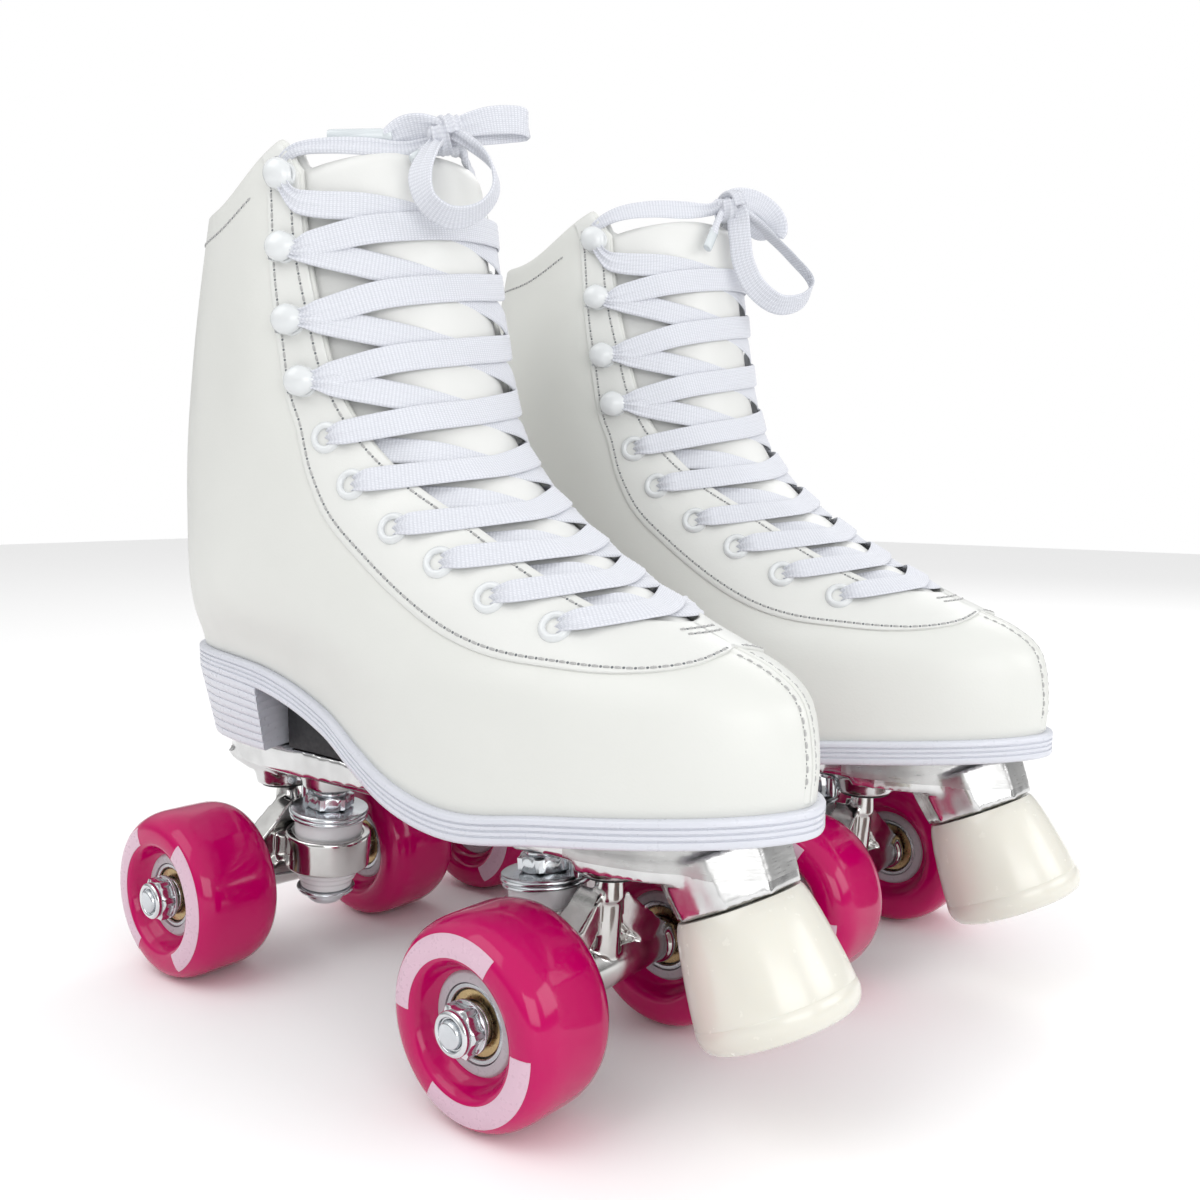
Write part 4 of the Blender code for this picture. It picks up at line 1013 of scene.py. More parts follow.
def strand(start, end, side, over, hooked_start, hooked_end):
    """One crossing strand from a station on one facing to the next station on the other."""
    (l0, a0), (l1, a1) = start, end
    top = FACING_THICKNESS
    lift = 0.0010 if over else -0.0003
    rows = []

    def add(level, angle, out, width, thick=LACE_THICKNESS):
        centre = boot(level, angle, out)
        rows.append([centre, boot_normal(level, angle), width, thick])

    if hooked_start:
        add(l0, side * (a0 + .055), top + .0016, .0040, .0022)
        add(l0 + .003, side * (a0 - .03), top + .0018, .0046, .0020)
        add(l0 + .007, side * (a0 - .13), top + .0017, .0076, .0014)
    else:
        add(l0, side * (a0 + .01), -.0022, .0042, .0018)
        add(l0 + .001, side * (a0 - .035), top + .0008, .0050, .0017)
        add(l0 + .004, side * (a0 - .11), top + .0018, .0074, .0013)
    edge0 = float(curve(THROAT, l0))
    edge1 = float(curve(THROAT, l1))
    span = [(.30, .55), (.5, .0), (.70, -.55)]
    for share, place in span:
        level = l0 + (l1 - l0) * share
        edge = edge0 + (edge1 - edge0) * share
        out = (-.0008 + lift) + (0.0013 if abs(place) > .3 else 0.0)
        add(level, side * place * edge, out, LACE_WIDTH)
    if hooked_end:
        add(l1 - .007, -side * (a1 - .13), top + .0017, .0076, .0014)
        add(l1 - .003, -side * (a1 - .03), top + .0018, .0046, .0020)
        add(l1, -side * (a1 + .055), top + .0016, .0040, .0022)
    else:
        add(l1 - .012, -side * (edge1 - .035), -.0022, .0080)
        add(l1 - .008, -side * (edge1 + .07), -.0036, .0070)
        add(l1 - .003, -side * (edge1 + .17), -.0036, .0060)
    centres = np.array([r[0] for r in rows])
    ups = np.array([r[1] for r in rows])
    ahead = unit(np.gradient(centres, axis=0))
    sides = np.cross(ups, ahead)
    return [np.r_[c, s, r[2], r[3]] for c, s, r in zip(centres, sides, rows)]


def lacing_runs():
    stations = [(p, False) for p in EYELETS] + [(p, True) for p in HOOKS]
    runs = []
    for (start, hooked_start), (end, hooked_end) in zip(stations, stations[1:]):
        for side, over in ((-1, True), (1, False)):
            runs.append(strand(start, end, side, over, hooked_start, hooked_end))
    # the bar under the facings between the two lowest eyelets
    level, angle = EYELETS[0]
    bar_rows = []
    for place in np.linspace(-1, 1, 7):
        centre = boot(level, place * angle, -.0030)
        bar_rows.append([centre, boot_normal(level, place * angle)])
    centres = np.array([r[0] for r in bar_rows])
    ups = np.array([r[1] for r in bar_rows])
    sides = np.cross(ups, unit(np.gradient(centres, axis=0)))
    runs.append([np.r_[c, s, .0070, LACE_THICKNESS] for c, s in zip(centres, sides)])
    return runs


# Each bow cord: from a top hook, through the knot, round its loop, back to the knot and out to its tip.
# Rows are (x, y, z, side x, side y, side z, width) in the skate's frame.
BOWS = {
    "right": {
        "near": [(-.0198, -.0400, .2625, .5, -.2, -.8, .0040), (-.0200, -.0390, .2675, .5, -.3, -.8, .0044),
                 (-.0155, -.0368, .2712, .5, -.3, -.8, .0050), (-.0080, -.0300, .2726, .45, -.2, -.85, .0060),
                 (.0000, -.0220, .2726, .4, -.1, -.9, .0062), (.0065, -.0135, .2724, .35, -.1, -.9, .0056),
                 (.0110, -.0080, .2742, .5, 0, -.8, .0046), (.0150, -.0070, .2750, .8, .2, -.3, .0046),
                 (.0178, -.0130, .2700, .95, .35, .1, .0070), (.0198, -.0185, .2620, 1, .3, .1, .0084),
                 (.0228, -.0185, .2535, .75, -.1, .45, .0086), (.0265, -.0120, .2495, .45, -.53, .57, .0086),
                 (.0305, -.0040, .2525, .53, -.7, .3, .0086), (.0318, .0010, .2595, .53, -.79, .1, .0086),
                 (.0290, .0015, .2675, .55, -.75, .2, .0082), (.0220, -.0020, .2745, .5, -.5, .5, .0060),
                 (.0150, -.0065, .2785, .3, -.3, .8, .0056), (.0105, -.0095, .2790, .3, -.5, .8, .0084),
                 (.0060, -.0130, .2780, .3, -.4, .9, .0084), (.0020, -.0165, .2758, .2, -.3, .9, .0050)],
        "far": [(-.0198, .0400, .2625, .5, .2, -.8, .0040), (-.0195, .0392, .2680, .5, .3, -.8, .0044),
                (-.0130, .0340, .2728, .45, .2, -.85, .0060), (-.0020, .0235, .2738, .4, .1, -.9, .0070),
                (.0060, .0125, .2742, .35, .1, -.9, .0064), (.0115, .0035, .2760, .3, 0, .9, .0046),
                (.0150, .0005, .2795, .1, 0, 1, .0056), (.0185, .0080, .2830, .05, -.05, 1, .0080),
                (.0215, .0160, .2850, .05, -.1, 1, .0086), (.0232, .0225, .2855, .05, -.1, 1, .0086),
                (.0212, .0252, .2850, .05, -.1, 1, .0086), (.0182, .0205, .2838, .05, -.1, 1, .0086),
                (.0160, .0120, .2815, .05, -.1, 1, .0082), (.0140, .0030, .2780, .2, -.1, 1, .0056),
                (.0138, -.0045, .2745, .5, -.2, .8, .0046), (.0136, -.0085, .2718, .6, -.2, .8, .0050),
                (.0130, -.0125, .2695, .6, -.2, .8, .0040)],
    },
    "left": {
        "near": [(-.0198, -.0400, .2625, .5, -.2, -.8, .0040), (-.0190, -.0390, .2685, .5, -.3, -.8, .0050),
                 (-.0120, -.0345, .2730, .5, -.3, -.8, .0072), (-.0030, -.0255, .2752, .45, -.2, -.85, .0080),
                 (.0060, -.0150, .2755, .4, -.1, -.9, .0078), (.0115, -.0065, .2765, .4, 0, -.9, .0052),
                 (.0150, -.0015, .2790, .8, .5, -.1, .0064), (.0182, .0010, .2760, .8, .55, .05, .0086),
                 (.0192, .0022, .2670, .8, .6, .1, .0086), (.0200, .0040, .2570, .8, .6, .1, .0086),
                 (.0225, .0090, .2480, .7, .4, .5, .0086), (.0275, .0180, .2420, .45, -.3, .8, .0086),
                 (.0325, .0275, .2440, .5, -.5, .7, .0086), (.0345, .0310, .2510, .6, -.7, .3, .0086),
                 (.0300, .0240, .2600, .6, -.7, .2, .0086), (.0240, .0140, .2690, .6, -.7, .2, .0084),
                 (.0185, .0030, .2765, .5, -.4, .6, .0056), (.0140, .0000, .2800, .2, .1, 1, .0070),
                 (.0095, .0060, .2800, .1, .1, 1, .0080), (.0040, .0130, .2790, .1, .1, 1, .0044)],
        "far": [(-.0198, .0400, .2625, .5, .2, -.8, .0040), (-.0195, .0392, .2680, .5, .3, -.8, .0044),
                (-.0130, .0340, .2728, .45, .2, -.85, .0060), (-.0020, .0235, .2738, .4, .1, -.9, .0070),
                (.0060, .0125, .2742, .35, .1, -.9, .0064), (.0115, .0035, .2760, .3, 0, .9, .0046),
                (.0155, -.0005, .2800, .1, 0, 1, .0070), (.0185, .0060, .2815, .1, .2, 1, .0086),
                (.0215, .0140, .2800, .3, .3, .9, .0086), (.0240, .0200, .2750, .6, .3, .6, .0086),
                (.0240, .0205, .2690, .8, .3, .1, .0086), (.0222, .0150, .2690, .8, .3, .1, .0086),
                (.0190, .0070, .2735, .6, .1, .5, .0076), (.0160, -.0005, .2765, .4, -.1, .8, .0050),
                (.0150, -.0050, .2735, .5, -.2, .8, .0052), (.0150, -.0075, .2700, .5, -.2, .8, .0050),
                (.0150, -.0095, .2660, .5, -.2, .8, .0040)],
    },
}
AGLET_TIPS = {("right", "near"): ((-.0130, -.0310, .2757), .0195),
              ("right", "far"): ((.0120, -.0200, .2640), .0055),
              ("left", "near"): ((-.0080, .0290, .2790), .0180),
              ("left", "far"): ((.0150, -.0180, .2530), .0090)}
KNOTS = {"right": (.0142, -.0040, .2768), "left": (.0150, .0005, .2780)}


def aglet(start, end, radius=.0019):
    """A plastic lace tip: a flattened sleeve, crimped where the lace enters."""
    start, end = np.array(start), np.array(end)
    ahead = unit(end - start)
    side = unit(np.cross(ahead, [0, 0, 1]))
    up = np.cross(side, ahead)
    turn = np.linspace(0, 2 * math.pi, 20, endpoint=False)
    rings = []
    for share, size in ((0, .5), (.0, .92), (.03, 1.0), (.10, 1.0), (.12, .93), (.15, .93), (.17, 1.0),
                        (.9, .98),
                        (.97, .93), (1, .80), (1.0, .4)):
        centre = start + (end - start) * share
        rings.append(centre + radius * size
                     * (np.cos(turn)[:, None] * up * 1.12 + np.sin(turn)[:, None] * side * .8))
    return Shape().tube(rings).mesh("aglet", [MAT["aglet"]], 50)


def make_knot(centre, lean):
    """The knot: a short lace band wound once round the crossing, over a tight core."""
    centre = np.array(centre)
    axis = unit(np.array(lean, float))
    first = unit(np.cross(axis, [0.0, 0.3, 1.0]))
    second = np.cross(axis, first)
    rows = []
    for turn in np.linspace(-.15, 2 * math.pi + .25, 22):
        radial = first * math.cos(turn) + second * math.sin(turn)
        place = centre + radial * (.0042 + .0001 * turn) * (1 + .22 * math.cos(turn) ** 2)
        width = .0082 - .0030 * math.cos(turn / 2) ** 2
        rows.append(np.r_[place + axis * (.0007 * turn - .002), axis, width, .0024])
    core = [np.r_[centre + axis * reach, first, width, .0052]
            for reach, width in ((-.0052, .0030), (-.0034, .0054), (0, .0064), (.0034, .0054), (.0052, .0030))]
    mesh, _ = lace_mesh("knot", [rows, core])
    return mesh


def add_bows():
    for name, origin in ORIGIN.items():
        place = Matrix.Translation(origin)
        for which, rows in BOWS[name].items():
            rows = [np.r_[r[:6], r[6], LACE_THICKNESS + (LACE_WIDTH - r[6]) * .18]
                    for r in np.array(rows, float)]
            mesh, middles = lace_mesh(f"bow_{which}", [rows])
            path = middles[0]
            label = f"{name}_{which}_lace_end"
            end, reach = AGLET_TIPS[name, which]
            tip_start = path[-1] + unit(path[-2] - path[-1]) * .002
            tip = piece(f"{label}_aglet",
                        aglet(tip_start, tip_start + unit(np.array(end) - tip_start) * reach),
                        f"{name}_skate", place)
            cord = piece(label, mesh, f"{name}_skate", place,
                         [f"{name}_lace_bow"] if which == "near" else ())
        piece(f"{name}_lace_knot", make_knot(KNOTS[name], (.55, .80, .10)), f"{name}_skate", place)


# ---------------------------------------------------------------- camera
def add_camera():
    data = bpy.data.cameras.new("camera")
    camera = bpy.data.objects.new("camera", data)
    bpy.context.scene.collection.objects.link(camera)
    target, distance = Vector((0.00755, -0.01892, 0.13177)), 0.40340
    turn, rise, roll = math.radians(40.235), math.radians(5.588), math.radians(0.34)
    back = Vector((math.sin(turn) * math.cos(rise), -math.cos(turn) * math.cos(rise), math.sin(rise)))
    right = (-back).cross(Vector((0, 0, 1))).normalized()
    up = right.cross(-back)
    right, up = right * math.cos(roll) + up * math.sin(roll), up * math.cos(roll) - right * math.sin(roll)
    place = target + back * distance
    camera.matrix_world = Matrix(((right.x, up.x, back.x, place.x), (right.y, up.y, back.y, place.y),
                                  (right.z, up.z, back.z, place.z), (0, 0, 0, 1)))
    data.lens = 35.6
    data.sensor_width = 36
    data.clip_start, data.clip_end = 0.01, 20
    bpy.context.scene.camera = camera


add_camera()
add_bows()
lacing, _ = lace_mesh("lacing", lacing_runs())
for_both("lacing", lacing, ["lace"])

for_both("upper", make_upper(), ["upper"])
for_both("facings", make_facings())
for_both("seams", make_seams())
for_both("stitching", make_stitches())
for pad in for_both("collar_pad", make_lining()).values():
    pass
for pad in for_both("tongue", make_tongue(), ["tongue"]).values():
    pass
for pad in for_both("insole", make_insole(), ["insole"]).values():
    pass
for_both("heel_tab", make_heel_tab())
for_both("sole", make_sole(), ["sole"])
for_both("arch_pad", make_pad())
for_both("eyelets", make_eyelets())
for_both("hooks", make_hooks())


# ---------------------------------------------------------------- plate and toe stop
PLATE_BOTTOM = 0.070
PLATE_REAR, PLATE_FRONT = -0.104, 0.128
RING = Vector((0.0553, 0, 0.038))
PIVOT = Vector((0.080, 0, 0.060))
LEAN = math.radians(5.7)
KING_UP = Vector((-math.sin(LEAN), 0, math.cos(LEAN)))
STOP_TOP = Vector((0.124, 0, 0.060))
STOP_TILT = math.radians(25.8)
STOP_AXIS = Vector((math.sin(STOP_TILT), 0, -math.cos(STOP_TILT)))


def plate_outline(grow=0.0, count=60):
    turn = np.linspace(0, math.pi, count)
    x = (PLATE_REAR + PLATE_FRONT) / 2 - (PLATE_FRONT - PLATE_REAR) / 2 * np.cos(turn)
    along = (x - PLATE_REAR) / (PLATE_FRONT - PLATE_REAR)
    end = np.maximum(1 - np.abs(2 * along - 1) ** 5, 0) ** 0.5
    half = (0.023 - 0.007 * np.exp(-((along - .45) / .16) ** 2) + 0.006 * ease((along - .6) / .2)
            + grow) * end
    return np.concatenate([np.stack([x, -half], -1), np.stack([x[::-1], half[::-1]], -1)[1:-1]])


def plate_top(x):
    lowest = min(z for _, z in FEATHER) - LASTING_GAP - SOLE_THICKNESS - .0004
    level = HEEL_TOP_LINE - .0004 + (lowest - HEEL_TOP_LINE) * ease((x - HEEL_FRONT) / 0.09)
    under_sole = curve(FEATHER, x) - LASTING_GAP - SOLE_THICKNESS - .0003
    level = np.where(x < HEEL_FRONT, HEEL_TOP_LINE - .0004, level)
    return np.where(x > .033, under_sole, level)


def half_turn(shape):
    return shape.moved(Matrix.Rotation(math.pi, 4, 'Z'))


def make_plate():
    body = Shape()
    base = plate_outline()
    top = plate_top(base[:, 0])
    wall(body, base, top, np.full(len(base), PLATE_BOTTOM), [(0, -.0012), (0, 0), (1, 0), (1, -.0012)])
    ends = Shape()
    boss = bar(RING + KING_UP * .0235, RING + KING_UP * .034, .0100, .0115, 32)
    pivot_boss = bar(PIVOT - Vector((0, 0, .001)), Vector((PIVOT.x, 0, PLATE_BOTTOM + .003)), .0105, .0135,
                     32)
    ends.join(boss).join(pivot_boss)
    # the cast hood over each truck: wide at the plate, sloping in to the pivot boss
    rings = []
    for z, low_x, high_x, half in ((.0725, .038, .0985, .0185), (.0690, .046, .0975, .0165),
                                   (.0645, .062, .0950, .0115)):
        rings.append([(low_x, -half * .75, z), (high_x - .008, -half, z), (high_x, -half * .5, z),
                      (high_x, half * .5, z), (high_x - .008, half, z), (low_x, half * .75, z)])
    ends.tube(rings)
    body.join(ends).join(half_turn(ends))
    # raised spine between the trucks
    body.join(box_shape((-.046, -.0040, .0645), (.046, .0040, .072)))
    body.join(box_shape((-.046, -.0135, .0670), (.046, -.0110, .072)))
    body.join(box_shape((-.046, .0110, .0670), (.046, .0135, .072)))
    high = STOP_TOP - STOP_AXIS * .0150
    body.join(bar(STOP_TOP - STOP_AXIS * .0003, high, .0170, .0185, 48))
    # the boss is cast with eight broad flats below the plate's toe wall
    ahead = Vector((math.cos(STOP_TILT), 0, math.sin(STOP_TILT)))
    rings = []
    for reach, radius in ((.0003, .0182), (.0080, .0192), (.0150, .0200)):
        rings.append([STOP_TOP - STOP_AXIS * reach + radius * (
            ahead * math.cos(math.pi * (k + .5) / 4) + Vector((0, 1, 0)) * math.sin(math.pi * (k + .5) / 4))
            for k in range(8)])
    body.tube(rings)
    toe = plate_outline(.0005)
    toe = toe[toe[:, 0] > .088]
    rings = []
    for z in (.0675, .0735):
        rings.append(np.column_stack([toe, np.full(len(toe), z)]))
    body.tube(rings)
    mesh = cast("plate", body, 0.0009, 4, [MAT["plate"], MAT["brushed"]])
    centres = np.zeros(len(mesh.polygons) * 3)
    mesh.polygons.foreach_get("center", centres)
    centres = centres.reshape(-1, 3)
    kinds = ((centres[:, 0] > .085) & (centres[:, 2] > .0705)).astype(np.int32)
    mesh.polygons.foreach_set("material_index", kinds)
    return mesh


def hexagon(radius, low, high, chamfer=.0006, kind=0):
    """A hexagonal nut about Z with chamfered corners."""
    turn = np.linspace(0, 2 * math.pi, 48, endpoint=False)
    flat = radius * math.cos(math.pi / 6)
    local = np.mod(turn, math.pi / 3) - math.pi / 6
    edge = flat / np.cos(local)
    rows = []
    for z, limit in ((low, flat - .0002), (low + chamfer, radius), (high - chamfer, radius),
                     (high, flat - .0002)):
        r = np.minimum(edge, limit)
        rows.append(np.stack([r * np.cos(turn), r * np.sin(turn), np.full(48, z)], -1))
    return Shape().tube(rows, kind)


def make_hardware():
    """The pivot cups, and one lock screw with its hexagon at each end of the plate."""
    shape = Shape()
    one = Shape()
    cup = rounded_profile([(.0052, -.0022), (.0092, -.0018), (.0092, .004), (.0052, .004)], .0008)
    one.join(lathe(cup, 32, 1).moved(Matrix.Translation(PIVOT)))
    shaft = lathe([(.0024, .0), (.0024, .012)], 20, 0, closed=False)
    one.join(shaft.moved(Matrix.Translation((.0665, 0, .0545))))
    one.join(hexagon(.0052, .0, .0042).moved(Matrix.Translation((.0665, 0, .0620))))
    one.join(lathe(rounded_profile([(.0001, .0), (.0058, .0), (.0058, .0012), (.0001, .0012)], .0003), 24, 0,
                   closed=False).moved(Matrix.Translation((.0665, 0, .0660))))
    shape.join(one).join(half_turn(one))
    return shape.mesh("plate_hardware", [MAT["zinc"], MAT["pad"]], 40)


def make_stop():
    """The rubber toe stop about its own axis, +Z towards the plate, top face at zero."""
    profile = [(.0001, 0), (.0120, 0), (.0174, -.0002), (.0180, -.0012), (.0188, -.0035), (.0199, -.0085),
               (.0210, -.0150), (.0219, -.0215), (.0224, -.0266), (.02235, -.0269), (.02255, -.0272),
               (.0227, -.0290), (.0225, -.0305), (.0218, -.0322), (.0206, -.0335), (.0190, -.0342),
               (.0172, -.0345), (.0001, -.0345)]
    shape = lathe(profile, 96, 0, closed=False)
    stem = lathe([(.0001, .012), (.0050, .012), (.0050, -.001), (.0001, -.001)], 20, 1, closed=False)
    return shape.join(stem).mesh("toe_stop", [MAT["stop"], MAT["zinc"]], 40)


for_both("plate", make_plate(), ["baseplate"])
for_both("plate_hardware", make_hardware())
stop_mesh = make_stop()
for name, origin in ORIGIN.items():
    piece(f"{name}_toe_stop_look", stop_mesh, f"{name}_skate",
          Matrix.Translation(origin + STOP_TOP) @ Matrix.Rotation(-STOP_TILT, 4, 'Y'), [f"{name}_toe_stop"])


# ---------------------------------------------------------------- trucks
def make_hanger():
    """The cast hanger of a front truck, in the skate's frame."""
    body = Shape()
    axle = Vector((AXLE_X, 0, AXLE_Z))
    for side in (-1, 1):
        y = side * .0292
        body.join(bar(axle, axle + Vector((0, y, 0)), .0072, .0062, 32))
        body.join(bar(axle + Vector((0, side * .0265, 0)), axle + Vector((0, y, 0)), .0074, .0074, 32))
        # arm of the V from the axle's end to the neck: a flat-sided rib
        arm = []
        for y, z, half_x, half_z in ((.0275, .0008, .0052, .0052), (.0200, .0050, .0058, .0050),
                                     (.0110, .0125, .0056, .0048), (.0010, .0215, .0048, .0044)):
            slope = Vector((0, side * .62, .78)) * half_z
            centre = axle + Vector((.0004, side * y, z))
            arm.append([centre + slope - Vector((half_x, 0, 0)), centre + slope + Vector((half_x, 0, 0)),
                        centre - slope * .8 + Vector((half_x * .8, 0, 0)),
                        centre - slope * .8 - Vector((half_x * .8, 0, 0))])
        body.tube(arm)
    body.join(bar(axle + Vector((-.001, 0, 0)), PIVOT + Vector((-.0008, 0, -.0045)), .0070, .0040, 28))
    body.join(bar(axle + Vector((.0040, 0, .022)), PIVOT, .0048, .0034, 24))
    ring = lathe([(.0149, -.0055), (.0150, .0052), (.0001, .0052), (.0001, -.0055)][::-1], 48, closed=False)
    tilt = Matrix.Translation(RING) @ Matrix.Rotation(-LEAN, 4, 'Y')
    body.join(ring.moved(tilt))
    body.join(box_shape((.0645, -.0115, .0330), (.0765, .0115, .0425)))
    return cast("hanger", body, 0.0006, 3, [MAT["truck"]])


def make_hanger_trim():
    """The ring's machined lip, the axle's spacers and the flange at each end."""
    tilt = Matrix.Translation(RING) @ Matrix.Rotation(-LEAN, 4, 'Y')
    lip = rounded_profile([(.0124, .0048), (.0124, .0066), (.0130, .0070), (.0150, .0068), (.0154, .0058),
                           (.0152, -.0052), (.0146, -.0059), (.0124, -.0058)], .0006)
    shape = lathe(lip, 64, 0).moved(tilt)
    for side in (-1, 1):
        lay = Matrix.Translation((AXLE_X, side * .0293,
                                  AXLE_Z)) @ Matrix.Rotation(-side * math.pi / 2, 4, 'X')
        washer = rounded_profile([(.0041, -.0004), (.0066, -.0004), (.0066, .0008), (.0041, .0008)], .0002)
        shape.join(lathe(washer, 32, 1).moved(lay))
    return shape.mesh("hanger_trim", [MAT["truck"], MAT["zinc"]], 40)


def make_kingpin():
    """King bolt, lock nut and cup washers about the ring's centre."""
    shape = lathe([(.0001, .033), (.0040, .033), (.0040, -.0180), (.0001, -.0180)], 28, 0, closed=False)
    top = .0133
    for low, radius in ((top - .0004, .0138), (top + .0013, .0142)):
        cup = rounded_profile([(.0040, low), (radius - .0012, low), (radius, low - .0006),
                               (radius + .0002, low + .0002),
                               (radius - .0004, low + .0013), (.0040, low + .0014)], .0004)
        shape.join(lathe(cup, 64, 0))
    shape.join(hexagon(.0088, top + .0028, top + .0078))
    collar = rounded_profile([(.0040, top + .0078), (.0062, top + .0078), (.0062, top + .0090),
                              (.0040, top + .0092)],
                             .0004)
    shape.join(lathe(collar, 32, 0))
    low = -.0140
    cup = rounded_profile([(.0040, low), (.0102, low), (.0106, low - .0006), (.0100, low - .0016),
                           (.0040, low - .0016)],
                          .0004)
    shape.join(lathe(cup, 48, 0))
    head = rounded_profile([(.0001, low - .0060), (.0052, low - .0058), (.0068, low - .0042),
                            (.0070, low - .0016),
                            (.0001, low - .0016)], .0008)
    shape.join(lathe(head, 40, 0, closed=False))
    return shape.mesh("kingpin", [MAT["zinc"]], 40)


def make_cushions():
    upper = lathe(rounded_profile([(.0041, .0055), (.0118, .0055), (.0121, .0075), (.0121, .0110),
                                   (.0118, .0129),
                                   (.0041, .0129)], .0007), 56, 0)
    lower = lathe(rounded_profile([(.0041, -.0056), (.0116, -.0056), (.0119, -.0080), (.0106, -.0092),
                                   (.0104, -.0106),
                                   (.0094, -.0114), (.0092, -.0138), (.0041, -.0138)], .0006), 56, 0)
    return upper.mesh("upper_cushion", [MAT["cushion"]],
                      40), lower.mesh("lower_cushion", [MAT["cushion"]], 40)


def make_axle():
    shape = lathe(rounded_profile([(.0001, -.0606), (.0034, -.0604), (.0039, -.0594), (.0039, .0594),
                                   (.0034, .0604), (.0001, .0606)], .0006), 28, 0, closed=False)
    return shape.moved(Matrix.Rotation(math.pi / 2, 4, 'X')).mesh("axle", [MAT["zinc"]], 40)


def make_wheel(turned):
    """The wheel about Z with its outer face up: urethane tyre, core and the two printed arcs."""
    face = [(.0142, .0096), (.0150, .0099), (.0162, .0112), (.0171, .0132), (.0178, .0148), (.0187, .0157),
            (.0200, .0160), (.0225, .0159), (.0245, .0155), (.0262, .0145), (.0275, .0128), (.0284, .0106),
            (.0289, .0080), (.0290, .0050)]
    tyre = lathe(face + [(r, -z) for r, z in reversed(face)], 128, 0)
    core = rounded_profile([(.0111, .0102), (.0136, .0102), (.0144, .0094), (.0144, -.0094), (.0136, -.0102),
                            (.0111, -.0102)], .0004)
    tyre.join(lathe(core, 64, 1))
    lift = .00012
    strip = [(.0193, .01587), (.0200, .0160), (.0225, .0159), (.0245, .0155), (.0255, .01495)]
    normal = unit(np.array([(b[1] - a[1], -(b[0] - a[0])) for a, b in zip(strip, strip[1:])]))
    normal = -np.vstack([normal, normal[-1]])
    for start in (turned, turned + math.pi):
        turn = np.linspace(start, start + math.radians(119), 48)
        rows = []
        for raise_by in (lift, -.0004):
            profile = np.array(strip) + normal * raise_by
            rows.append([np.stack([r * np.cos(turn), r * np.sin(turn), np.full(48, z)], -1)
                         for r, z in profile])
        tyre.sheet(np.array(rows[0]), np.array(rows[1]), 0.0, 2)
    return tyre.mesh("wheel", [MAT["wheel"], MAT["core"], MAT["print"]], 40)


def make_bearings():
    shape = Shape()
    for side in (1, -1):
        place = Matrix.Rotation(0 if side > 0 else math.pi, 4, 'X')
        outer = rounded_profile([(.0094, .0040), (.0094, .0096), (.0097, .0100), (.0108, .0100),
                                 (.0110, .0096),
                                 (.0110, .0040)], .0003)
        shield = rounded_profile([(.0062, .0040), (.0062, .0090), (.0066, .0094), (.0090, .0092),
                                  (.0092, .0087),
                                  (.0092, .0040)], .0003)
        seal = [(.0058, .0040), (.0058, .0086), (.0095, .0086), (.0095, .0040)]
        inner = rounded_profile([(.0041, .0040), (.0041, .0104), (.0057, .0104), (.0060, .0100),
                                 (.0060, .0040)],
                                .0003)
        for profile, kind in ((outer, 0), (shield, 1), (seal, 2), (inner, 0)):
            shape.join(lathe(profile, 56, kind).moved(place))
    shape.join(lathe([(.0042, -.005), (.0060, -.005), (.0060, .005), (.0042, .005)], 28, 0))
    return shape.mesh("bearings", [MAT["race"], MAT["brass"], MAT["seal"]], 40)


def make_nut():
    """A lock nut about Z: washer, hexagon, and the rolled collar that grips its insert."""
    shape = lathe(rounded_profile([(.0040, -.0001), (.0074, -.0001), (.0074, .0009), (.0040, .0009)], .0002),
                  40, 0)
    shape.join(hexagon(.0075, .0008, .0050))
    collar = rounded_profile([(.0041, .0048), (.0062, .0050), (.0062, .0064), (.0054, .0070), (.0046, .0068),
                              (.0044, .0060), (.0041, .0060)], .0003)
    shape.join(lathe(collar, 40, 0))
    return shape.mesh("axle_nut", [MAT["nut"]], 40)


hanger, trim, kingpin, axle = make_hanger(), make_hanger_trim(), make_kingpin(), make_axle()
upper_cushion, lower_cushion = make_cushions()
bearings, nut = make_bearings(), make_nut()
PRINT_TURNS = {"front_left": 200, "front_right": 60, "rear_left": 300, "rear_right": 298}
wheels = {corner: make_wheel(math.radians(turn)) for corner, turn in PRINT_TURNS.items()}
for name, origin in ORIGIN.items():
    for end, turn in TURNS.items():
        place = Matrix.Translation(origin) @ Matrix.Rotation(turn, 4, 'Z')
        seat = place @ Matrix.Translation(RING) @ Matrix.Rotation(-LEAN, 4, 'Y')
        label, truck, skate = f"{name}_{end}", f"{name}_{end}_truck", f"{name}_skate"
        piece(f"{label}_hanger_look", hanger, truck, place, [truck])
        piece(f"{label}_hanger_trim", trim, truck, place)
        piece(f"{label}_kingpin_look", kingpin, skate, seat, [f"{label}_kingpin"])
        piece(f"{label}_upper_cushion_look", upper_cushion, skate, seat,
              [f"{label}_upper_cushion"])
        piece(f"{label}_lower_cushion_look", lower_cushion, skate, seat,
              [f"{label}_lower_cushion"])
        level = place @ Matrix.Translation((AXLE_X, 0, AXLE_Z))
        piece(f"{label}_axle_look", axle, truck, level, [f"{label}_axle"])
        for side_name, side in SIDES.items():
            own = side if turn == 0 else -side
            laid = Matrix.Rotation(-own * math.pi / 2, 4, 'X')
            hub = level @ Matrix.Translation((0, own * HUB_Y, 0)) @ laid
            corner = f"{label}_{side_name}"
            piece(f"{corner}_wheel_look", wheels[f"{end}_{side_name}"], f"{corner}_wheel", hub,
                  [f"{corner}_wheel"])
            piece(f"{corner}_bearings_look", bearings, f"{corner}_wheel", hub,
                  [f"{corner}_bearings"])
            piece(f"{corner}_axle_nut_look", nut, truck,
                  level @ Matrix.Translation((0, own * NUT_Y, 0)) @ laid, [f"{corner}_axle_nut"])


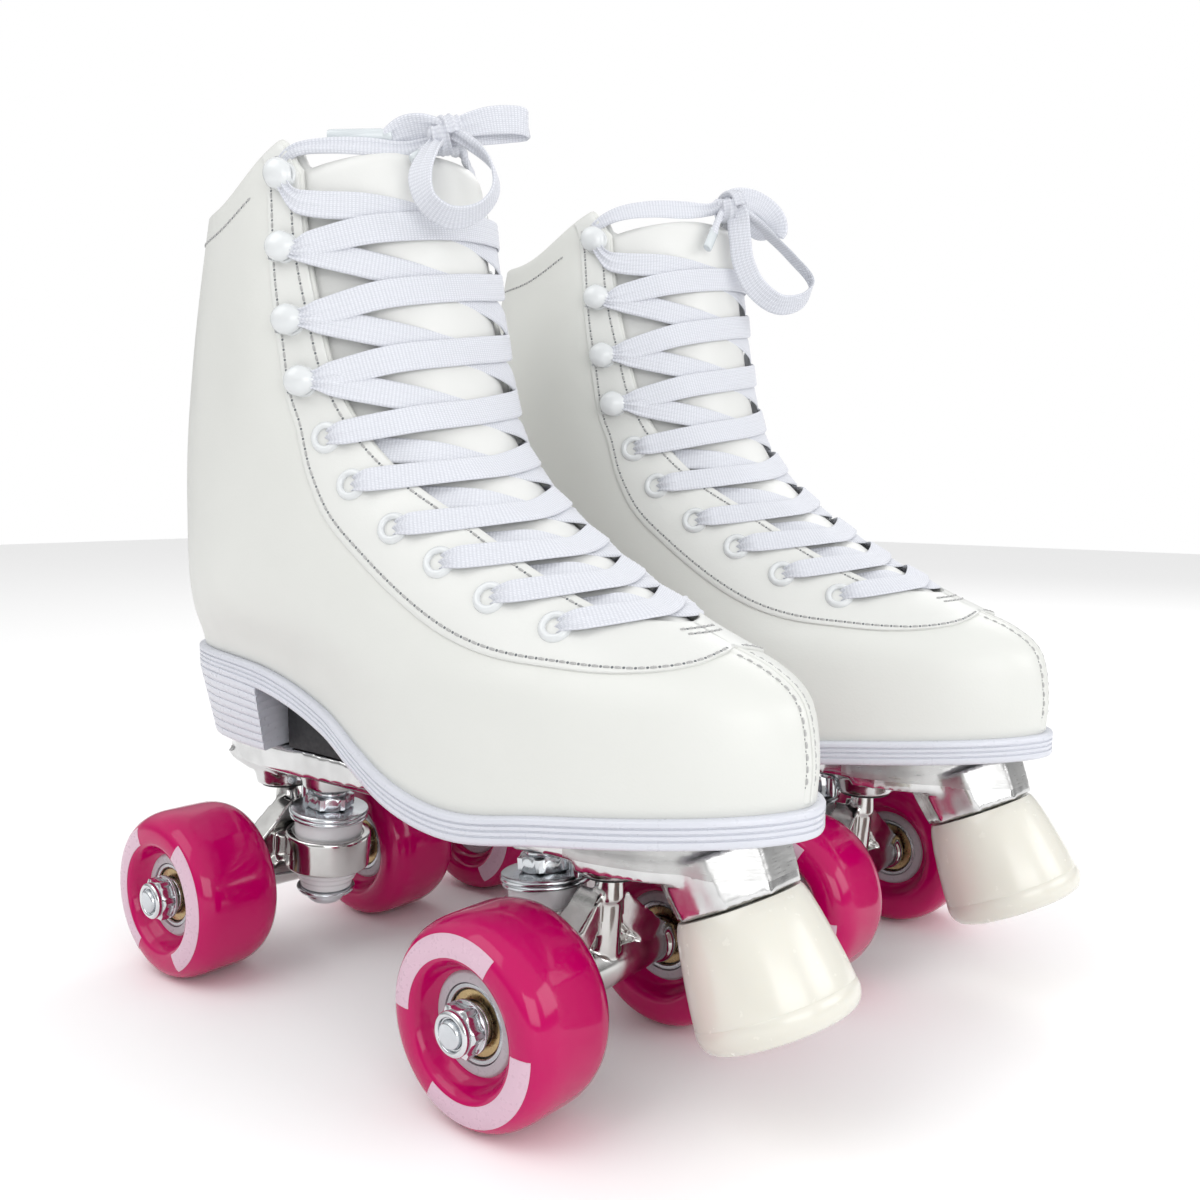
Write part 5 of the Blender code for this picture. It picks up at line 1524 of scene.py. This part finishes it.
# ---------------------------------------------------------------- floor, lights
def add_stage():
    size = 3.0
    mesh = bpy.data.meshes.new("floor")
    mesh.from_pydata([(-size, -size, 0), (size, -size, 0), (size, size, 0), (-size, size, 0)], [],
                     [(0, 1, 2, 3)])
    floor = bpy.data.objects.new("floor", mesh)
    made = new_material("floor_white", (0.96, 0.96, 0.96), 0.6, Specular_IOR_Level=0.1)[0]
    mesh.materials.append(made)
    bpy.context.scene.collection.objects.link(floor)


def add_light(name, place, target, size, power, colour=(1, 1, 1)):
    data = bpy.data.lights.new(name, 'AREA')
    data.shape = 'RECTANGLE'
    data.size, data.size_y = size
    data.energy = power
    data.color = colour
    light = bpy.data.objects.new(name, data)
    light.location = place
    light.rotation_euler = (Vector(target) - Vector(place)).to_track_quat('-Z', 'Y').to_euler()
    bpy.context.scene.collection.objects.link(light)


def add_world():
    """A white studio, with a grey band near the horizon for the metal to reflect."""
    world = bpy.data.worlds.new("studio")
    scene = bpy.context.scene
    scene.world = world
    scene.view_settings.view_transform = 'Standard'
    world.use_nodes = True
    nodes, links = world.node_tree.nodes, world.node_tree.links
    background = nodes["Background"]
    place = nodes.new("ShaderNodeTexCoord")
    split = nodes.new("ShaderNodeSeparateXYZ")
    links.new(place.outputs["Generated"], split.inputs[0])
    shade = nodes.new("ShaderNodeValToRGB")
    rows = [(0.0, .58), (.10, .28), (.28, .52), (.50, .93)]
    shade.color_ramp.elements.remove(shade.color_ramp.elements[1])
    for number, (at, grey) in enumerate(rows):
        element = shade.color_ramp.elements[0] if number == 0 else shade.color_ramp.elements.new(at)
        element.position, element.color = at, (grey, grey, grey, 1)
    links.new(split.outputs[2], shade.inputs[0])
    seen = nodes.new("ShaderNodeLightPath")
    mix = nodes.new("ShaderNodeMix")
    mix.data_type = 'RGBA'
    mix.inputs["B"].default_value = (1, 1, 1, 1)
    links.new(seen.outputs["Is Camera Ray"], mix.inputs["Factor"])
    links.new(shade.outputs[0], mix.inputs["A"])
    links.new(mix.outputs["Result"], background.inputs["Color"])
    background.inputs["Strength"].default_value = 1.0


add_stage()
add_world()
add_light("key", (-0.3, -1.0, 1.3), (0, 0, 0.12), (1.1, 1.1), 7)
add_light("fill", (1.3, -0.8, 0.5), (0, 0, 0.10), (1.0, 0.7), 7)
add_light("front", (1.5, 0.5, 0.7), (0, 0, 0.12), (0.9, 0.7), 6)
add_light("rim", (-0.2, 1.2, 1.1), (0, 0, 0.15), (0.9, 0.6), 4)
